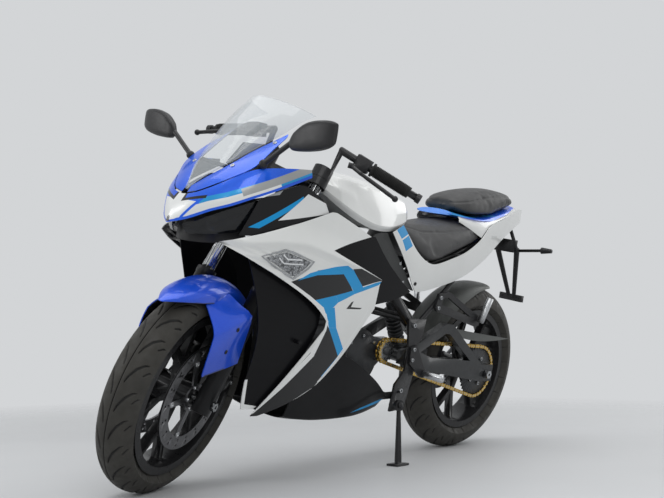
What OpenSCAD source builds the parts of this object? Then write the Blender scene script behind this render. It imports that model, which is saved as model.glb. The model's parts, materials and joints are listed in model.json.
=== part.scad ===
// Electric sport motorcycle, parked on its side stand with the bars turned to the left stop.
// Every piece is drawn on an upright machine: x forward, y to the left, z up, in millimetres.
// steered() then turns the front end on its head tube, and parked() leans the whole machine
// over until both tyres and the stand's foot rest on the ground.

/* [Stance] */
// Lean to the left on the side stand, in degrees
lean = 13; // [11:0.5:15]
// Turn of the bars to the left stop, in degrees
steer_lock = 23; // [18:1:24]

/* [Front end] */
// Angle of the steering head from upright, in degrees
rake = 25; // [24:0.5:26]
// Distance of the fork legs ahead of the steering axis
fork_offset = 37.7; // [34:0.1:41]
// Half of the distance between the fork legs
fork_half_gap = 92; // [88:1:96]
// Radius of the bright upper fork tubes
fork_tube_r = 20.5; // [18:0.5:22]
// Outer radius of the dark lower fork sliders
slider_r = 27; // [25:0.5:29]
// Length of the sliders above the axle
slider_length = 341; // [320:1:360]
// Radius of the front axle
front_axle_r = 8.5; // [7:0.5:10]
// Thickness of each steering yoke
yoke_thick = 24; // [18:1:30]

/* [Wheels] */
// Height of the front tyre above its bead seat
front_section = 79; // [74:1:83]
// Half of the front tyre's width
front_tyre_half = 56; // [52:1:58]
// Height of the rear tyre above its bead seat
rear_section = 100; // [94:1:104]
// Half of the rear tyre's width
rear_tyre_half = 69; // [64:1:71]
// Radius of the seat that carries the tyre bead
bead_seat_r = 214; // [212:0.5:216]
// Number of forked spokes in each wheel
spoke_count = 5; // [3:1:6]
// Thickness of the spokes along the axle
spoke_thick = 26; // [20:1:32]
// Radius of the rear axle
rear_axle_r = 10; // [9:0.5:11]

/* [Brakes and drive] */
// Outer radius of the front brake discs
front_disc_r = 149; // [140:1:155]
// Outer radius of the rear brake disc
rear_disc_r = 110; // [100:1:115]
// Thickness of the brake discs
disc_thick = 5; // [4:0.5:6]
// Pitch radius of the motor's sprocket
small_sprocket_r = 38; // [34:1:42]
// Pitch radius of the rear wheel's sprocket
large_sprocket_r = 95; // [88:1:100]
// Distance of the chain's middle from the centre plane
chain_y = 86; // [85:0.5:88]
// Radius of the motor's case
motor_r = 98; // [85:1:100]

/* [Chassis] */
// Length of the swingarm from its pivot to the axle
swingarm_length = 495; // [480:1:510]
// Wall of the swingarm's side plates
arm_thick = 30; // [24:1:32]
// Radius of the main frame tubes
spar_r = 19; // [16:0.5:20]
// Width of the battery case
battery_width = 160; // [140:1:164]

/* [Bodywork] */
// Wall of the painted panels
panel_wall = 3; // [2:0.5:4]
// Widest half-width of the side fairings
fairing_half = 220; // [214:1:226]
// Thickness of the windscreen
screen_wall = 4; // [3:0.5:5]
// Thickness of the lamp lenses
lens_wall = 3; // [2:0.5:4]

/* [Controls] */
// Radius of the handlebar tubes
bar_r = 11; // [10:0.5:12]
// Radius of the rubber grips
grip_r = 17; // [15:0.5:19]
// Length of the grips
grip_length = 128; // [110:1:135]
// Radius of the footpegs
peg_r = 12; // [10:0.5:14]
// Radius of the side stand's leg
stand_r = 12; // [10:0.5:14]

/* [Hidden] */
$fn = 48;

// Clearances
running_gap = 0.05;
seat_gap = 0.3;
disc_gap = 1.2;

front_tyre_r = bead_seat_r + front_section;
rear_tyre_r = bead_seat_r + rear_section;

// Main points of the upright machine
front_axle_at = [675, 0, 293];
swing_pivot = [-181.5, 0, 385];
swing_drop = 71;
rear_axle_at = [
  swing_pivot.x - sqrt(swingarm_length * swingarm_length - swing_drop * swing_drop),
  0,
  swing_pivot.z - swing_drop
];
steer_axis = [-sin(rake), 0, cos(rake)];
steer_foot = front_axle_at - fork_offset * [cos(rake), 0, sin(rake)];

// Small vector tools
function mix(a, b, t) = a + (b - a) * t;
function unit(v) = v / norm(v);
function flip_y(p) = [p[0], -p[1], p[2]];
function about_x(v, a) = [v[0], v[1] * cos(a) - v[2] * sin(a), v[1] * sin(a) + v[2] * cos(a)];
function about_y(v, a) = [v[0] * cos(a) + v[2] * sin(a), v[1], v[2] * cos(a) - v[0] * sin(a)];
function about(v, axis, a) = v * cos(a) + cross(axis, v) * sin(a) + axis * (axis * v) * (1 - cos(a));

// Rest on the ground: each tyre's lowest point is solved for the lean, the turn of the bars and the pitch
front_hub = steer_foot + about(front_axle_at - steer_foot, steer_axis, steer_lock);
front_spin = about([0, 1, 0], steer_axis, steer_lock);
function rested(v, pitch) = about_y(about_x(v, -lean), pitch);
function lowest(hub, spin, tyre_r, half, pitch) =
  let (tilt = rested(spin, pitch)[2])
  rested(hub, pitch)[2] - (tyre_r - half) * sqrt(1 - tilt * tilt) - half;
function front_low(pitch) = lowest(front_hub, front_spin, front_tyre_r, front_tyre_half, pitch);
function rear_low(pitch) = lowest(rear_axle_at, [0, 1, 0], rear_tyre_r, rear_tyre_half, pitch);
drop_per_degree = (front_hub.x - rear_axle_at.x) * PI / 180;
function settle(pitch, steps) = steps == 0 ? pitch :
  settle(pitch + (front_low(pitch) - rear_low(pitch)) / drop_per_degree, steps - 1);
rest_pitch = settle(0, 6);
rest_drop = rear_low(rest_pitch);
origin_shift = [18, -230, 0];
function ground_z(x, y) =
  ((x * sin(rest_pitch) + rest_drop) / cos(rest_pitch) + y * sin(lean)) / cos(lean);

module parked() {
  translate(origin_shift - [0, 0, rest_drop])
    rotate([-lean, rest_pitch, 0])
      children();
}

module steered() {
  translate(steer_foot)
    rotate(a = steer_lock, v = steer_axis)
      translate(-steer_foot)
        children();
}

// Frame of the fork: z runs up the legs, x points ahead of them
module at_fork() {
  translate(front_axle_at)
    rotate([0, -rake, 0])
      children();
}

module both_sides() {
  children();
  mirror([0, 1, 0])
    children();
}

// Turned shape whose axis lies along y
module along_y(at) {
  translate(at)
    rotate([90, 0, 0])
      children();
}

// Side-view outline in x and z, drawn out from y_low to y_high
module side_plate(y_low, y_high) {
  translate([0, y_high, 0])
    rotate([90, 0, 0])
      linear_extrude(height = y_high - y_low)
        children();
}

// Round rod between two points
module rod(p, q, r, r_end = undef) {
  d = q - p;
  translate(p)
    rotate([0, acos(d[2] / norm(d)), atan2(d[1], d[0])])
      cylinder(h = norm(d), r1 = r, r2 = is_undef(r_end) ? r : r_end);
}

// Smooth curve through the rows of a table, with `fine` steps between each pair
function curve(a, b, c, d, t) =
  0.5 * (2 * b + (c - a) * t + (2 * a - 5 * b + 4 * c - d) * t * t + (3 * b - a - 3 * c + d) * t * t * t);
function smooth_rows(rows, fine) =
  let (last = len(rows) - 1)
  [for (k = [0:last * fine])
    let (i = min(floor(k / fine), last - 1), t = k / fine - i)
    curve(rows[max(i - 1, 0)], rows[i], rows[i + 1], rows[min(i + 2, last)], t)];

// Sheet panels: a grid of surface points, thickened to the inside
function grid_normal(grid, i, j) =
  let (n = len(grid) - 1, m = len(grid[0]) - 1)
  let (du = grid[min(i + 1, n)][j] - grid[max(i - 1, 0)][j])
  let (dv = grid[i][min(j + 1, m)] - grid[i][max(j - 1, 0)])
  unit(cross(du, dv));
function raised(grid, height) =
  [for (i = [0:len(grid) - 1])
    [for (j = [0:len(grid[0]) - 1]) grid[i][j] + height * grid_normal(grid, i, j)]];
function quad_faces(a, b, c, d) = [[a, b, c], [a, c, d]];

module panel(grid, wall) {
  n = len(grid);
  m = len(grid[0]);
  inner = raised(grid, -wall);
  points = concat([for (row = grid) each row], [for (row = inner) each row]);
  back = n * m;
  rows = [0:n - 2];
  cols = [0:m - 2];
  skin = [for (i = rows, j = cols)
    each quad_faces(i * m + j, i * m + j + 1, (i + 1) * m + j + 1, (i + 1) * m + j)];
  lining = [for (i = rows, j = cols)
    let (a = back + i * m + j, b = a + m)
    each quad_faces(a, b, b + 1, a + 1)];
  last = (n - 1) * m;
  first_edge = [for (j = cols) each quad_faces(j, back + j, back + j + 1, j + 1)];
  last_edge = [for (j = cols) each quad_faces(last + j, last + j + 1, back + last + j + 1, back + last + j)];
  near_edge = [for (i = rows) each quad_faces(i * m, (i + 1) * m, back + (i + 1) * m, back + i * m)];
  far_edge = [for (i = rows)
    each quad_faces((i + 2) * m - 1, (i + 1) * m - 1, back + (i + 1) * m - 1, back + (i + 2) * m - 1)];
  polyhedron(points, concat(skin, lining, first_edge, last_edge, near_edge, far_edge), convexity = 10);
}

// Ribbon panels: each row holds its upper point, its lower point and how far it swells out between them
function ribbon_row(row, across, core) =
  let (top = [row[0], row[1], row[2]], low = [row[3], row[4], row[5]], middle = mix(top, low, 0.5))
  let (out = unit([middle[0] - core[0], middle[1] - core[1], 0]))
  [for (k = [0:across]) let (t = k / across) mix(top, low, t) + row[6] * 4 * t * (1 - t) * out];
function ribbon(rows, fine, across, core) =
  [for (row = smooth_rows(rows, fine)) ribbon_row(row, across, core)];
function mirrored_row(row) = [for (p = row) flip_y(p)];
function backwards(list) = [for (i = [len(list) - 1:-1:0]) list[i]];
// A half that starts on the centre plane, joined to its mirror image: left tip, nose, right tip
function across_nose(half) =
  concat(backwards(half), [for (i = [1:len(half) - 1]) mirrored_row(half[i])]);

// Closed bodies lofted along x through rings of the same number of points
module loft(rings) {
  n = len(rings);
  m = len(rings[0]);
  sides = [for (i = [0:n - 2], j = [0:m - 1])
    let (k = (j + 1) % m)
    each quad_faces(i * m + j, (i + 1) * m + j, (i + 1) * m + k, i * m + k)];
  rear_cap = [for (j = [0:m - 1]) j];
  front_cap = [for (j = [m - 1:-1:0]) (n - 1) * m + j];
  polyhedron([for (ring = rings) each ring], concat(sides, [rear_cap, front_cap]), convexity = 6);
}

// Bent tube: rings square to a smooth curve through the points
function tube_ring(path, i, r, sides) =
  let (last = len(path) - 1)
  let (way = unit(path[min(i + 1, last)] - path[max(i - 1, 0)]))
  let (up = unit(cross(way, [0, 1, 0])), side = cross(way, up))
  [for (k = [0:sides - 1]) path[i] + r * (cos(360 * k / sides) * up + sin(360 * k / sides) * side)];
module tube_path(points, r, sides = 12) {
  path = smooth_rows(points, 2);
  loft([for (i = [0:len(path) - 1]) tube_ring(path, i, r, sides)]);
}

// Ring of a body: columns x, low z, top z, low half-width, middle half-width, middle z, top half-width
function body_ring(row, fine) =
  let (shoulder_z = mix(row[2], row[5], 0.22), foot_z = mix(row[1], row[5], 0.06))
  let (corners = [[0, row[1]], [row[3], foot_z], [row[4], row[5]], [row[6], shoulder_z], [0, row[2]]])
  let (side = smooth_rows(corners, fine))
  concat(
    [for (p = side) [row[0], p[0], p[1]]],
    [for (i = [len(side) - 2:-1:1]) [row[0], -side[i][0], side[i][1]]]
  );
function body_rings(rows, fine, round_fine) =
  [for (row = smooth_rows(rows, fine)) body_ring(row, round_fine)];

// Side stand: its pivot, where its foot meets the ground, and the way it lies when folded back
stand_pivot = [-130, 162, 236];
stand_foot_xy = [-122, 204];
stand_fold = unit([-1, 0.12, 0.1]);
stand_foot = [stand_foot_xy[0], stand_foot_xy[1], ground_z(stand_foot_xy[0], stand_foot_xy[1])];
stand_axis = unit(cross(stand_foot - stand_pivot, stand_fold));
stand_eye_half = 7;
stand_bolt_r = 6;
foot_thick = 7;
// Length and width of the stand's foot
foot_size = [60, 46];
stand_eye_r = 18;

motor_at = [-8, 0, 372];

// Main frame: head tube, spars, cradle, pivot plates and the seat rails
head_low = 536;
head_high = 684;
head_r = 30;
stem_r = 15;
cradle_r = 12;
rail_r = 11;
pivot_bolt_r = 10;
pivot_plate_y = [134, 142];
spar_points = [[392, 24, 812], [250, 96, 748], [60, 104, 690], [-165, 118, 512]];
cradle_points = [
  [62, 104, 690], [112, 104, 560], [112, 104, 296], [70, 104, 258], [-80, 106, 254], [-165, 128, 262]
];
rail_points = [
  [-40, 108, 604], [-110, 106, 650], [-200, 104, 690], [-300, 102, 719],
  [-400, 98, 748], [-640, 70, 832], [-790, 46, 884]
];
stay_points = [[-205, 126, 500], [-395, 106, 652], [-480, 90, 774]];
stay_r = 9;
// Bracket ahead of the head tube: bars for the lamp and the instruments, arms to the mirrors
nose_bar = [560, 80, 800, 8];
dash_bar = [543, 66, 912.4, 8];
mirror_base = [612, 158, 931.5];
mirror_base_r = 12.2;
fairing_stay_at = [290, 768];
tank_post_at = [200, 48];
// Cross bar under the tail, top of the posts under the trim, foot of those on the undertail
tail_bar_z = 826;
trim_post_z = 882.3;
undertail_post_z = 750.4;
// Space left between a boss and the side panel
fairing_boss_gap = 1.1;
// Foot and top of the tank's posts
tank_post_z = [732, 819.7];
trim_post_at = [-620, 40];
// Columns x, half-length, z, radius
cross_bars = [
  [-160, 117, 516, 14], [-120, 114, 257, 9], [112, 104, 300, 9], [trim_post_at[0], 72, tail_bar_z, 8],
  [motor_at.x, 106, motor_at.z - motor_r - seat_gap - 9, 9], [tank_post_at[0], 97, tank_post_z[0], 10],
  nose_bar, dash_bar
];
pivot_plate_outline = [
  [-138, 520], [-232, 520], [-226, 470], [-206, 425], [-208, 340], [-184, 216],
  [-112, 210], [-118, 300], [-158, 345], [-158, 425]
];

module frame() {
  color("#1d1e20")
    parked() {
      difference() {
        union() {
          at_fork()
            translate([-fork_offset, 0, head_low])
              cylinder(h = head_high - head_low, r = head_r);
          both_sides() {
            tube_path(spar_points, spar_r);
            tube_path(cradle_points, cradle_r);
            tube_path(rail_points, rail_r);
            tube_path(stay_points, stay_r);
            rod([396, 14, 838], [nose_bar[0], 30, nose_bar[2]], 10);
            rod([nose_bar[0], 55, nose_bar[2]], [dash_bar[0], 55, dash_bar[2]], 7);
            rod([dash_bar[0], 55, dash_bar[2]], mix(mirror_base, [dash_bar[0], 55, dash_bar[2]], 0.1), 6);
            boss_to_fairing(fairing_stay_at, 78, 6);
            rod(concat(tank_post_at, tank_post_z[0]), concat(tank_post_at, tank_post_z[1]), 9);
            translate([trim_post_at[0], trim_post_at[1], tail_bar_z])
              cylinder(h = trim_post_z - tail_bar_z, r = 8);
            translate([trim_post_at[0], trim_post_at[1] - 10, undertail_post_z])
              cylinder(h = tail_bar_z - undertail_post_z, r = 6);
            rod([-395, 100, 746], [-395, 140, 746], 6);
            side_plate(pivot_plate_y[0], pivot_plate_y[1])
              polygon(pivot_plate_outline);
          }
          rod(stand_pivot - 32 * stand_axis, stand_pivot - (stand_eye_half + seat_gap) * stand_axis, 15);
          rod(stand_pivot - 20 * stand_axis, stand_pivot + 10 * stand_axis, stand_bolt_r);
          rod(stand_pivot + (stand_eye_half + seat_gap) * stand_axis, stand_pivot + 13 * stand_axis, 10);
          for (bar = cross_bars)
            rod([bar[0], -bar[1], bar[2]], [bar[0], bar[1], bar[2]], bar[3]);
        }
        at_fork()
          translate([-fork_offset, 0, 0])
            cylinder(h = 1000, r = stem_r + running_gap);
      }
      along_y(swing_pivot + [0, pivot_plate_y[0] + 1, 0])
        cylinder(h = 2 * pivot_plate_y[0] + 2, r = pivot_bolt_r);
    }
}

// Battery case between the spars, with ribs along its flanks
battery_x = [112 + 9 + seat_gap, 338];
battery_z = [288, 668];
module battery_box() {
  color("#26282b")
    parked() {
      translate([battery_x[0], -battery_width / 2, battery_z[0]])
        cube([battery_x[1] - battery_x[0], battery_width, battery_z[1] - battery_z[0]]);
      for (z = [340:48:640])
        translate([battery_x[0] + 14, -battery_width / 2 - 3, z])
          cube([battery_x[1] - battery_x[0] - 28, battery_width + 6, 22]);
    }
}

// Motor with finned case, gear case and output shaft
sprocket_at = [-112, 0, 402];
motor_y = [-92, 52];
gear_case_y = 66;
shaft_r = 14;
fin_count = 7;
module drive_motor() {
  color("#3a3c40")
    parked() {
      along_y([motor_at.x, motor_y[1], motor_at.z])
        difference() {
          cylinder(h = motor_y[1] - motor_y[0], r = motor_r);
          for (i = [1:fin_count])
            translate([0, 0, i * 18])
              rotate_extrude()
                translate([motor_r - 7, -4])
                  square([20, 8]);
        }
      side_plate(motor_y[1] - 1, gear_case_y) {
        translate([motor_at.x, motor_at.z])
          circle(motor_r - 12);
        translate([sprocket_at.x, sprocket_at.z])
          circle(34);
        polygon([[-112, 436], [-20, 456], [-20, 288], [-118, 369]]);
      }
      along_y([sprocket_at.x, chain_y + 12, sprocket_at.z])
        cylinder(h = chain_y + 12 - gear_case_y + 1, r = shaft_r);
    }
}

// Sprockets: toothed discs that turn in the groove between the chain's plates
chain_pitch = 15.875;
tooth_tip = 2.2;
sprocket_half = 3;
module toothed(r) {
  count = round(2 * PI * r / chain_pitch);
  difference() {
    circle(r + tooth_tip);
    for (i = [0:count - 1])
      rotate(i * 360 / count)
        translate([r + 1, 0])
          circle(5.6, $fn = 24);
  }
}

module front_sprocket() {
  color("#77797c")
    parked()
      along_y([sprocket_at.x, chain_y + sprocket_half, sprocket_at.z])
        linear_extrude(height = 2 * sprocket_half)
          difference() {
            toothed(small_sprocket_r);
            circle(shaft_r + running_gap);
          }
}

// Chain loop round both sprockets: scalloped plates with a groove for the teeth
chain_half = 7;
link_half = 6.2;
waist_half = 3.4;
groove_half = sprocket_half + 0.8;
sprocket_gap = norm(rear_axle_at - sprocket_at);
run_angle = asin((large_sprocket_r - small_sprocket_r) / sprocket_gap);
run_tilt = atan2(rear_axle_at.z - sprocket_at.z, rear_axle_at.x - sprocket_at.x);
run_length = sprocket_gap * cos(run_angle);
small_wrap = 180 - 2 * run_angle;
large_wrap = 180 + 2 * run_angle;
small_arc = small_sprocket_r * small_wrap * PI / 180;
large_arc = large_sprocket_r * large_wrap * PI / 180;
chain_length = small_arc + large_arc + 2 * run_length;
link_count = round(chain_length / chain_pitch);
function from_run(a) = [cos(run_tilt + a), sin(run_tilt + a)];
function on_small(a) = [sprocket_at.x, sprocket_at.z] + small_sprocket_r * from_run(a);
function on_large(a) = [rear_axle_at.x, rear_axle_at.z] + large_sprocket_r * from_run(a);
// Middle of the chain, `s` along its length
function chain_at(s) =
  s < small_arc ? on_small(90 + run_angle + small_wrap * s / small_arc) :
  s < small_arc + run_length ?
    mix(on_small(270 - run_angle), on_large(-90 - run_angle), (s - small_arc) / run_length) :
  s < small_arc + run_length + large_arc ?
    on_large(large_wrap * (s - small_arc - run_length) / large_arc - 90 - run_angle) :
    mix(on_large(90 + run_angle), on_small(90 + run_angle), (s - chain_length + run_length) / run_length);
function belt(grow, steps) = concat(
  [for (i = [0:steps]) let (a = mix(90 + run_angle, 270 - run_angle, i / steps))
    on_small(a) + grow * from_run(a)],
  [for (i = [0:steps]) let (a = mix(-90 - run_angle, 90 + run_angle, i / steps))
    on_large(a) + grow * from_run(a)]
);
module drive_chain() {
  color("#b08d3c")
    parked()
      difference() {
        side_plate(chain_y - chain_half, chain_y + chain_half) {
          difference() {
            polygon(belt(waist_half, 20));
            polygon(belt(-waist_half, 20));
          }
          for (i = [0:link_count - 1])
            translate(chain_at(i * chain_length / link_count))
              circle(link_half);
        }
        along_y([sprocket_at.x, chain_y + groove_half, sprocket_at.z])
          cylinder(h = 2 * groove_half, r = small_sprocket_r + link_half + 2);
        along_y(rear_axle_at + [0, chain_y + groove_half, 0])
          cylinder(h = 2 * groove_half, r = large_sprocket_r + link_half + 2);
      }
}

// Swingarm: two side plates with a truss window, a pivot tube and a cross brace
arm_inner = 100;
// Outlines of the side plates: columns share of the arm's length, height over the pivot
arm_shares = [
  [-0.048, -23], [-0.048, 23], [0.068, 43], [0.389, 117], [0.477, 115], [0.928, -35],
  [1.091, -39], [1.091, -101], [0.928, -99], [0.242, -49], [0.048, -33]
];
window_shares = [[0.13, 19], [0.397, 83], [0.45, 81], [0.764, -19], [0.262, -1]];
function arm_points(shares) =
  [for (p = shares) [mix(swing_pivot.x, rear_axle_at.x, p[0]), swing_pivot.z + p[1]]];
// Cross brace ahead of the tyre
brace_rear_x = rear_axle_at.x + rear_tyre_r + 35;
brace_front_x = swing_pivot.x - 36;
module swingarm() {
  color("#3c3e42")
    parked()
      difference() {
        union() {
          both_sides()
            side_plate(arm_inner, arm_inner + arm_thick)
              difference() {
                polygon(arm_points(arm_shares));
                polygon(arm_points(window_shares));
              }
          along_y(swing_pivot + [0, arm_inner + 1, 0])
            cylinder(h = 2 * arm_inner + 2, r = 21);
          translate([brace_rear_x, -arm_inner - 1, swing_pivot.z - 21])
            cube([brace_front_x - brace_rear_x, 2 * arm_inner + 2, 44]);
          both_sides()
            side_plate(shock_eye_half + seat_gap, shock_eye_half + 8)
              translate([shock_low.x, shock_low.z])
                polygon([[-22, -24], [-12, 14], [12, 14], [22, -24]]);
        }
        along_y(swing_pivot + [0, 200, 0])
          cylinder(h = 400, r = pivot_bolt_r + running_gap);
        along_y(rear_axle_at + [0, 200, 0])
          cylinder(h = 400, r = rear_axle_r + running_gap);
      }
}

// Single shock absorber between the swingarm's brace and the frame's cross tube
shock_low = [brace_rear_x + 52, 0, swing_pivot.z + 39];
shock_high = [-196, 0, 548];
shock_eye_half = 13;
module rear_shock() {
  color("#8f2f2a")
    parked()
      translate(shock_low)
        rotate([0, atan2(shock_high.x - shock_low.x, shock_high.z - shock_low.z), 0]) {
          cylinder(h = norm(shock_high - shock_low), r = 12);
          rotate([90, 0, 0])
            cylinder(h = 2 * shock_eye_half, r = 13, center = true);
          for (i = [0:5])
            translate([0, 0, 30 + i * 15])
              rotate_extrude()
                translate([22, 0])
                  circle(6, $fn = 24);
          translate([0, 0, 18])
            cylinder(h = 8, r = 28);
          translate([0, 0, 110])
            cylinder(h = 8, r = 28);
          translate([0, 0, 18])
            cylinder(h = 98, r = 17);
        }
}

axle_bore_r = 5;
rear_axle_half = 148;
module rear_axle() {
  color("#a9abad")
    parked()
      difference() {
        union() {
          along_y(rear_axle_at + [0, rear_axle_half, 0])
            cylinder(h = 2 * rear_axle_half, r = rear_axle_r);
          both_sides()
            along_y(rear_axle_at + [0, rear_axle_half, 0])
              cylinder(h = rear_axle_half - arm_inner - arm_thick - seat_gap, r = 16, $fn = 6);
        }
        along_y(rear_axle_at + [0, rear_axle_half + 1, 0])
          cylinder(h = 2 * rear_axle_half + 2, r = axle_bore_r);
      }
}

// Curved covers over a tyre: columns angle, height of the crown over the tread, half-width,
// height of the edge
function cover_row(row, hub, tyre_r, across) =
  [for (k = [-across:across])
    let (s = k / across, r = tyre_r + mix(row[1], row[3], s * s))
    [hub[0] + r * cos(row[0]), -row[2] * sin(90 * s), hub[2] + r * sin(row[0])]];
function cover(rows, hub, tyre_r, fine, across) =
  [for (row = smooth_rows(rows, fine)) cover_row(row, hub, tyre_r, across)];

hugger_wall = 3;
hugger_rows = [
  [24, 12, 72, -22], [45, 16, 75, -30], [70, 18, 75, -24], [98, 20, 60, 4]
];
guard_y = arm_inner - hugger_wall - seat_gap;
// Chain guard's outline, measured from the axle
guard_outline = [[231, 172], [151, 158], [-175, 126], [-29, 114], [111, 122], [201, 142]];
module rear_hugger() {
  color("#5b5e63")
    parked() {
      panel(cover(hugger_rows, rear_axle_at, rear_tyre_r, 3, 5), hugger_wall);
      translate(rear_axle_at) {
        side_plate(guard_y, guard_y + hugger_wall)
          polygon(guard_outline);
        translate([219, 71, 161.5])
          cube([30, guard_y - 70, 4]);
      }
    }
}

// Caliper body that straddles a disc: slot in its middle, two piston bosses
module caliper_body(length, height, half, slot_half) {
  difference() {
    union() {
      translate([-length / 2, -half, -height / 2])
        cube([length, 2 * half, height]);
      for (x = [-0.24, 0.24])
        translate([x * length, half + 4, 0])
          rotate([90, 0, 0])
            cylinder(h = 2 * half + 8, r = height * 0.34);
    }
    translate([-length, -slot_half, -height])
      cube([2 * length, 2 * slot_half, 1.22 * height]);
  }
}

rear_disc_y = -78;
module rear_caliper() {
  color("#2a2b2e")
    parked()
      translate([rear_axle_at.x + 58, rear_disc_y, rear_axle_at.z + 86])
        rotate([0, 34, 0])
          caliper_body(66, 42, 16, disc_thick / 2 + disc_gap);
}

// Nose cowl: wraps from one side of the nose to the other, below the screen
nose_core = [430, 0, 0];
nose_rows = [
  [738, 0, 822, 777, 0, 742, 6],
  [733, 45, 830, 752, 52, 759, 8],
  [705, 85, 855, 716, 100, 789, 8],
  [676, 111, 879, 679, 132, 809, 8],
  [628, 146, 913, 641, 161, 833, 7],
  [556, 177, 929, 564, 187, 871, 4],
  [473, 200, 938, 468, 201, 917, 1]
];
module nose_cowl() {
  color("#1f4fb4")
    parked()
      panel(across_nose(ribbon(nose_rows, 3, 6, nose_core)), panel_wall);
}

// Side wings that frame the screen
surround_rows = [
  [720, 9, 846, 733, 12, 827, 0],
  [690, 36, 879, 727, 52, 838, 3],
  [650, 70, 918, 676, 111, 882, 4],
  [590, 88, 965, 628, 145, 921, 4],
  [540, 106, 1000, 570, 137, 972, 2],
  [503, 118, 1026, 509, 124, 1018, 0]
];
module screen_surround() {
  color("#1f4fb4")
    parked()
      both_sides()
        panel(backwards(ribbon(surround_rows, 3, 3, nose_core)), panel_wall);
}

// Windscreen: columns centre x, centre z, edge x, edge y, edge z
screen_rows = [
  [727, 836, 722, 4, 845],
  [712, 864, 689, 32, 881],
  [690, 902, 649, 65, 920],
  [657, 954, 589, 83, 967],
  [626, 1002, 540, 100, 1002],
  [597, 1043, 500, 111, 1032],
  [565, 1085, 450, 112, 1068],
  [531, 1125, 392, 104, 1094]
];
function screen_row(row, across) =
  [for (k = [across:-1:-across])
    let (a = 90 * k / across, back = 1 - cos(a))
    [mix(row[0], row[2], back), row[3] * sin(a), mix(row[1], row[4], back)]];
module windscreen() {
  color("#b9c4cc", 0.35)
    parked()
      panel([for (row = smooth_rows(screen_rows, 2)) screen_row(row, 7)], screen_wall);
}

// Headlights: dark lenses under the nose, and the housing behind them
lens_rows = [
  [742, 22, 744, 728, 30, 720, 2],
  [716, 74, 768, 712, 75, 726, 4],
  [676, 116, 798, 668, 112, 736, 5],
  [630, 147, 824, 628, 140, 752, 4],
  [580, 164, 850, 588, 156, 800, 2]
];
module headlights() {
  color("#20242a", 0.6)
    parked()
      both_sides()
        panel(backwards(ribbon(lens_rows, 2, 4, nose_core)), lens_wall);
}

housing_rows = [
  [712, 0, 782, 722, 0, 700, 0],
  [690, 58, 792, 698, 55, 702, 0],
  [648, 98, 812, 650, 98, 712, 0],
  [604, 128, 836, 604, 125, 738, 0],
  [578.8, 161.2, 848, 586.6, 153.1, 802, 0]
];
projector_at = [648, 66, 752];
lamp_lug_at = [700, 40, 782];
module lamp_housing() {
  color("#17181a")
    parked() {
      panel(across_nose(ribbon(housing_rows, 2, 4, nose_core)), panel_wall);
      both_sides()
        translate(projector_at)
          rotate([0, 90, 22])
            cylinder(h = 40, r = 24);
      both_sides()
        rod(lamp_lug_at, [nose_bar[0] + nose_bar[3] + seat_gap, lamp_lug_at.y, nose_bar[2]], 7);
    }
}

instrument_size = [24, 150, 84];
module instrument_panel() {
  color("#141518")
    parked()
      translate([512, 0, 952])
        rotate([0, -38, 0])
          difference() {
            translate(-instrument_size / 2)
              cube(instrument_size);
            translate([-instrument_size.x / 2 - 1, -62, -32])
              cube([4, 124, 64]);
          }
}

// Mirrors: base, stalk and teardrop head
mirror_neck = [612, 252, 994];
// Columns y, middle z, half-height, half-depth
mirror_rows = [
  [248, 992, 8, 6], [264, 998, 24, 13], [300, 1010, 36, 17],
  [345, 1017, 39, 17], [384, 1022, 34, 13], [402, 1025, 26, 7]
];
// Rounds a circle towards a rectangle
function squared(v) = sign(v) * pow(abs(v), 0.62);
function mirror_ring(row, steps) =
  [for (k = [0:steps - 1])
    let (a = 360 * k / steps)
    [mirror_neck.x + row[3] * squared(sin(a)), row[0], row[1] + row[2] * squared(cos(a))]];
module mirrors() {
  color("#1b1c1e")
    parked()
      both_sides() {
        rod(mirror_base, mirror_neck, 7);
        translate(mirror_base)
          sphere(mirror_base_r);
        loft([for (row = smooth_rows(mirror_rows, 2)) mirror_ring(row, 16)]);
      }
}

// Side fairings: half-width over the flank, and the front and rear edge at each height
nose_taper_x = 520;
widest_x = 280;
widest_z = 690;
function fairing_y(x, z) =
  let (nose = max(x - nose_taper_x, 0), along = x - widest_x)
  let (tuck = z > widest_z ? 0.1 * (z - widest_z) : 0.0003 * (widest_z - z) * (widest_z - z))
  fairing_half - 0.0002 * along * along - 0.0018 * nose * nose - tuck;
// Boss from `root_y` out to the inner face of the side panel, at x and z
module boss_to_fairing(at, root_y, r) {
  rod([at[0], root_y, at[1]], [at[0], fairing_y(at[0], at[1]) - panel_wall - fairing_boss_gap, at[1]], r);
}
// Columns height, front edge, rear edge
flank_rows = [
  [833, 372, 350], [800, 460, 254], [778, 526, 195], [752, 596, 290], [728, 664, 357],
  [714, 698, 318], [690, 645, 243], [654, 565, 129], [610, 466, 130], [565, 379, 131],
  [525, 334, 160], [498, 334, 178], [426, 384, 220], [370, 423, 266], [321, 457, 306],
  [270, 494, 400], [243, 512, 488]
];
function flank(rows, across) =
  [for (row = rows)
    [for (k = [0:across]) let (x = mix(row[1], row[2], k / across)) [x, fairing_y(x, row[0]), row[0]]]];
module side_fairings() {
  color("#e9ebee")
    parked()
      both_sides()
        panel(flank(flank_rows, 8), panel_wall);
}

// Inner panels that back the open front of the fairings: columns height, front x, front y, rear x, rear y
inner_rows = [
  [262, 544, 141, 500, 144], [340, 552, 148, 424, 166], [420, 544, 160, 374, 180],
  [500, 546, 164, 338, 186], [580, 568, 162, 344, 188], [660, 600, 156, 400, 184], [700, 616, 148, 480, 176]
];
// Covers over the frame spars, behind the notch of the side panels
spar_cover_y = 140;
spar_cover_outline = [
  [300, 742], [190, 782], [98, 776], [12, 690], [-118, 612],
  [-70, 588], [60, 560], [140, 560], [200, 620], [310, 715]
];
// Bosses on the spars: columns x, z, spar's outer y
spar_boss_at = [[60, 690, 104 + spar_r], [-60, 597, 112 + spar_r]];
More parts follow.
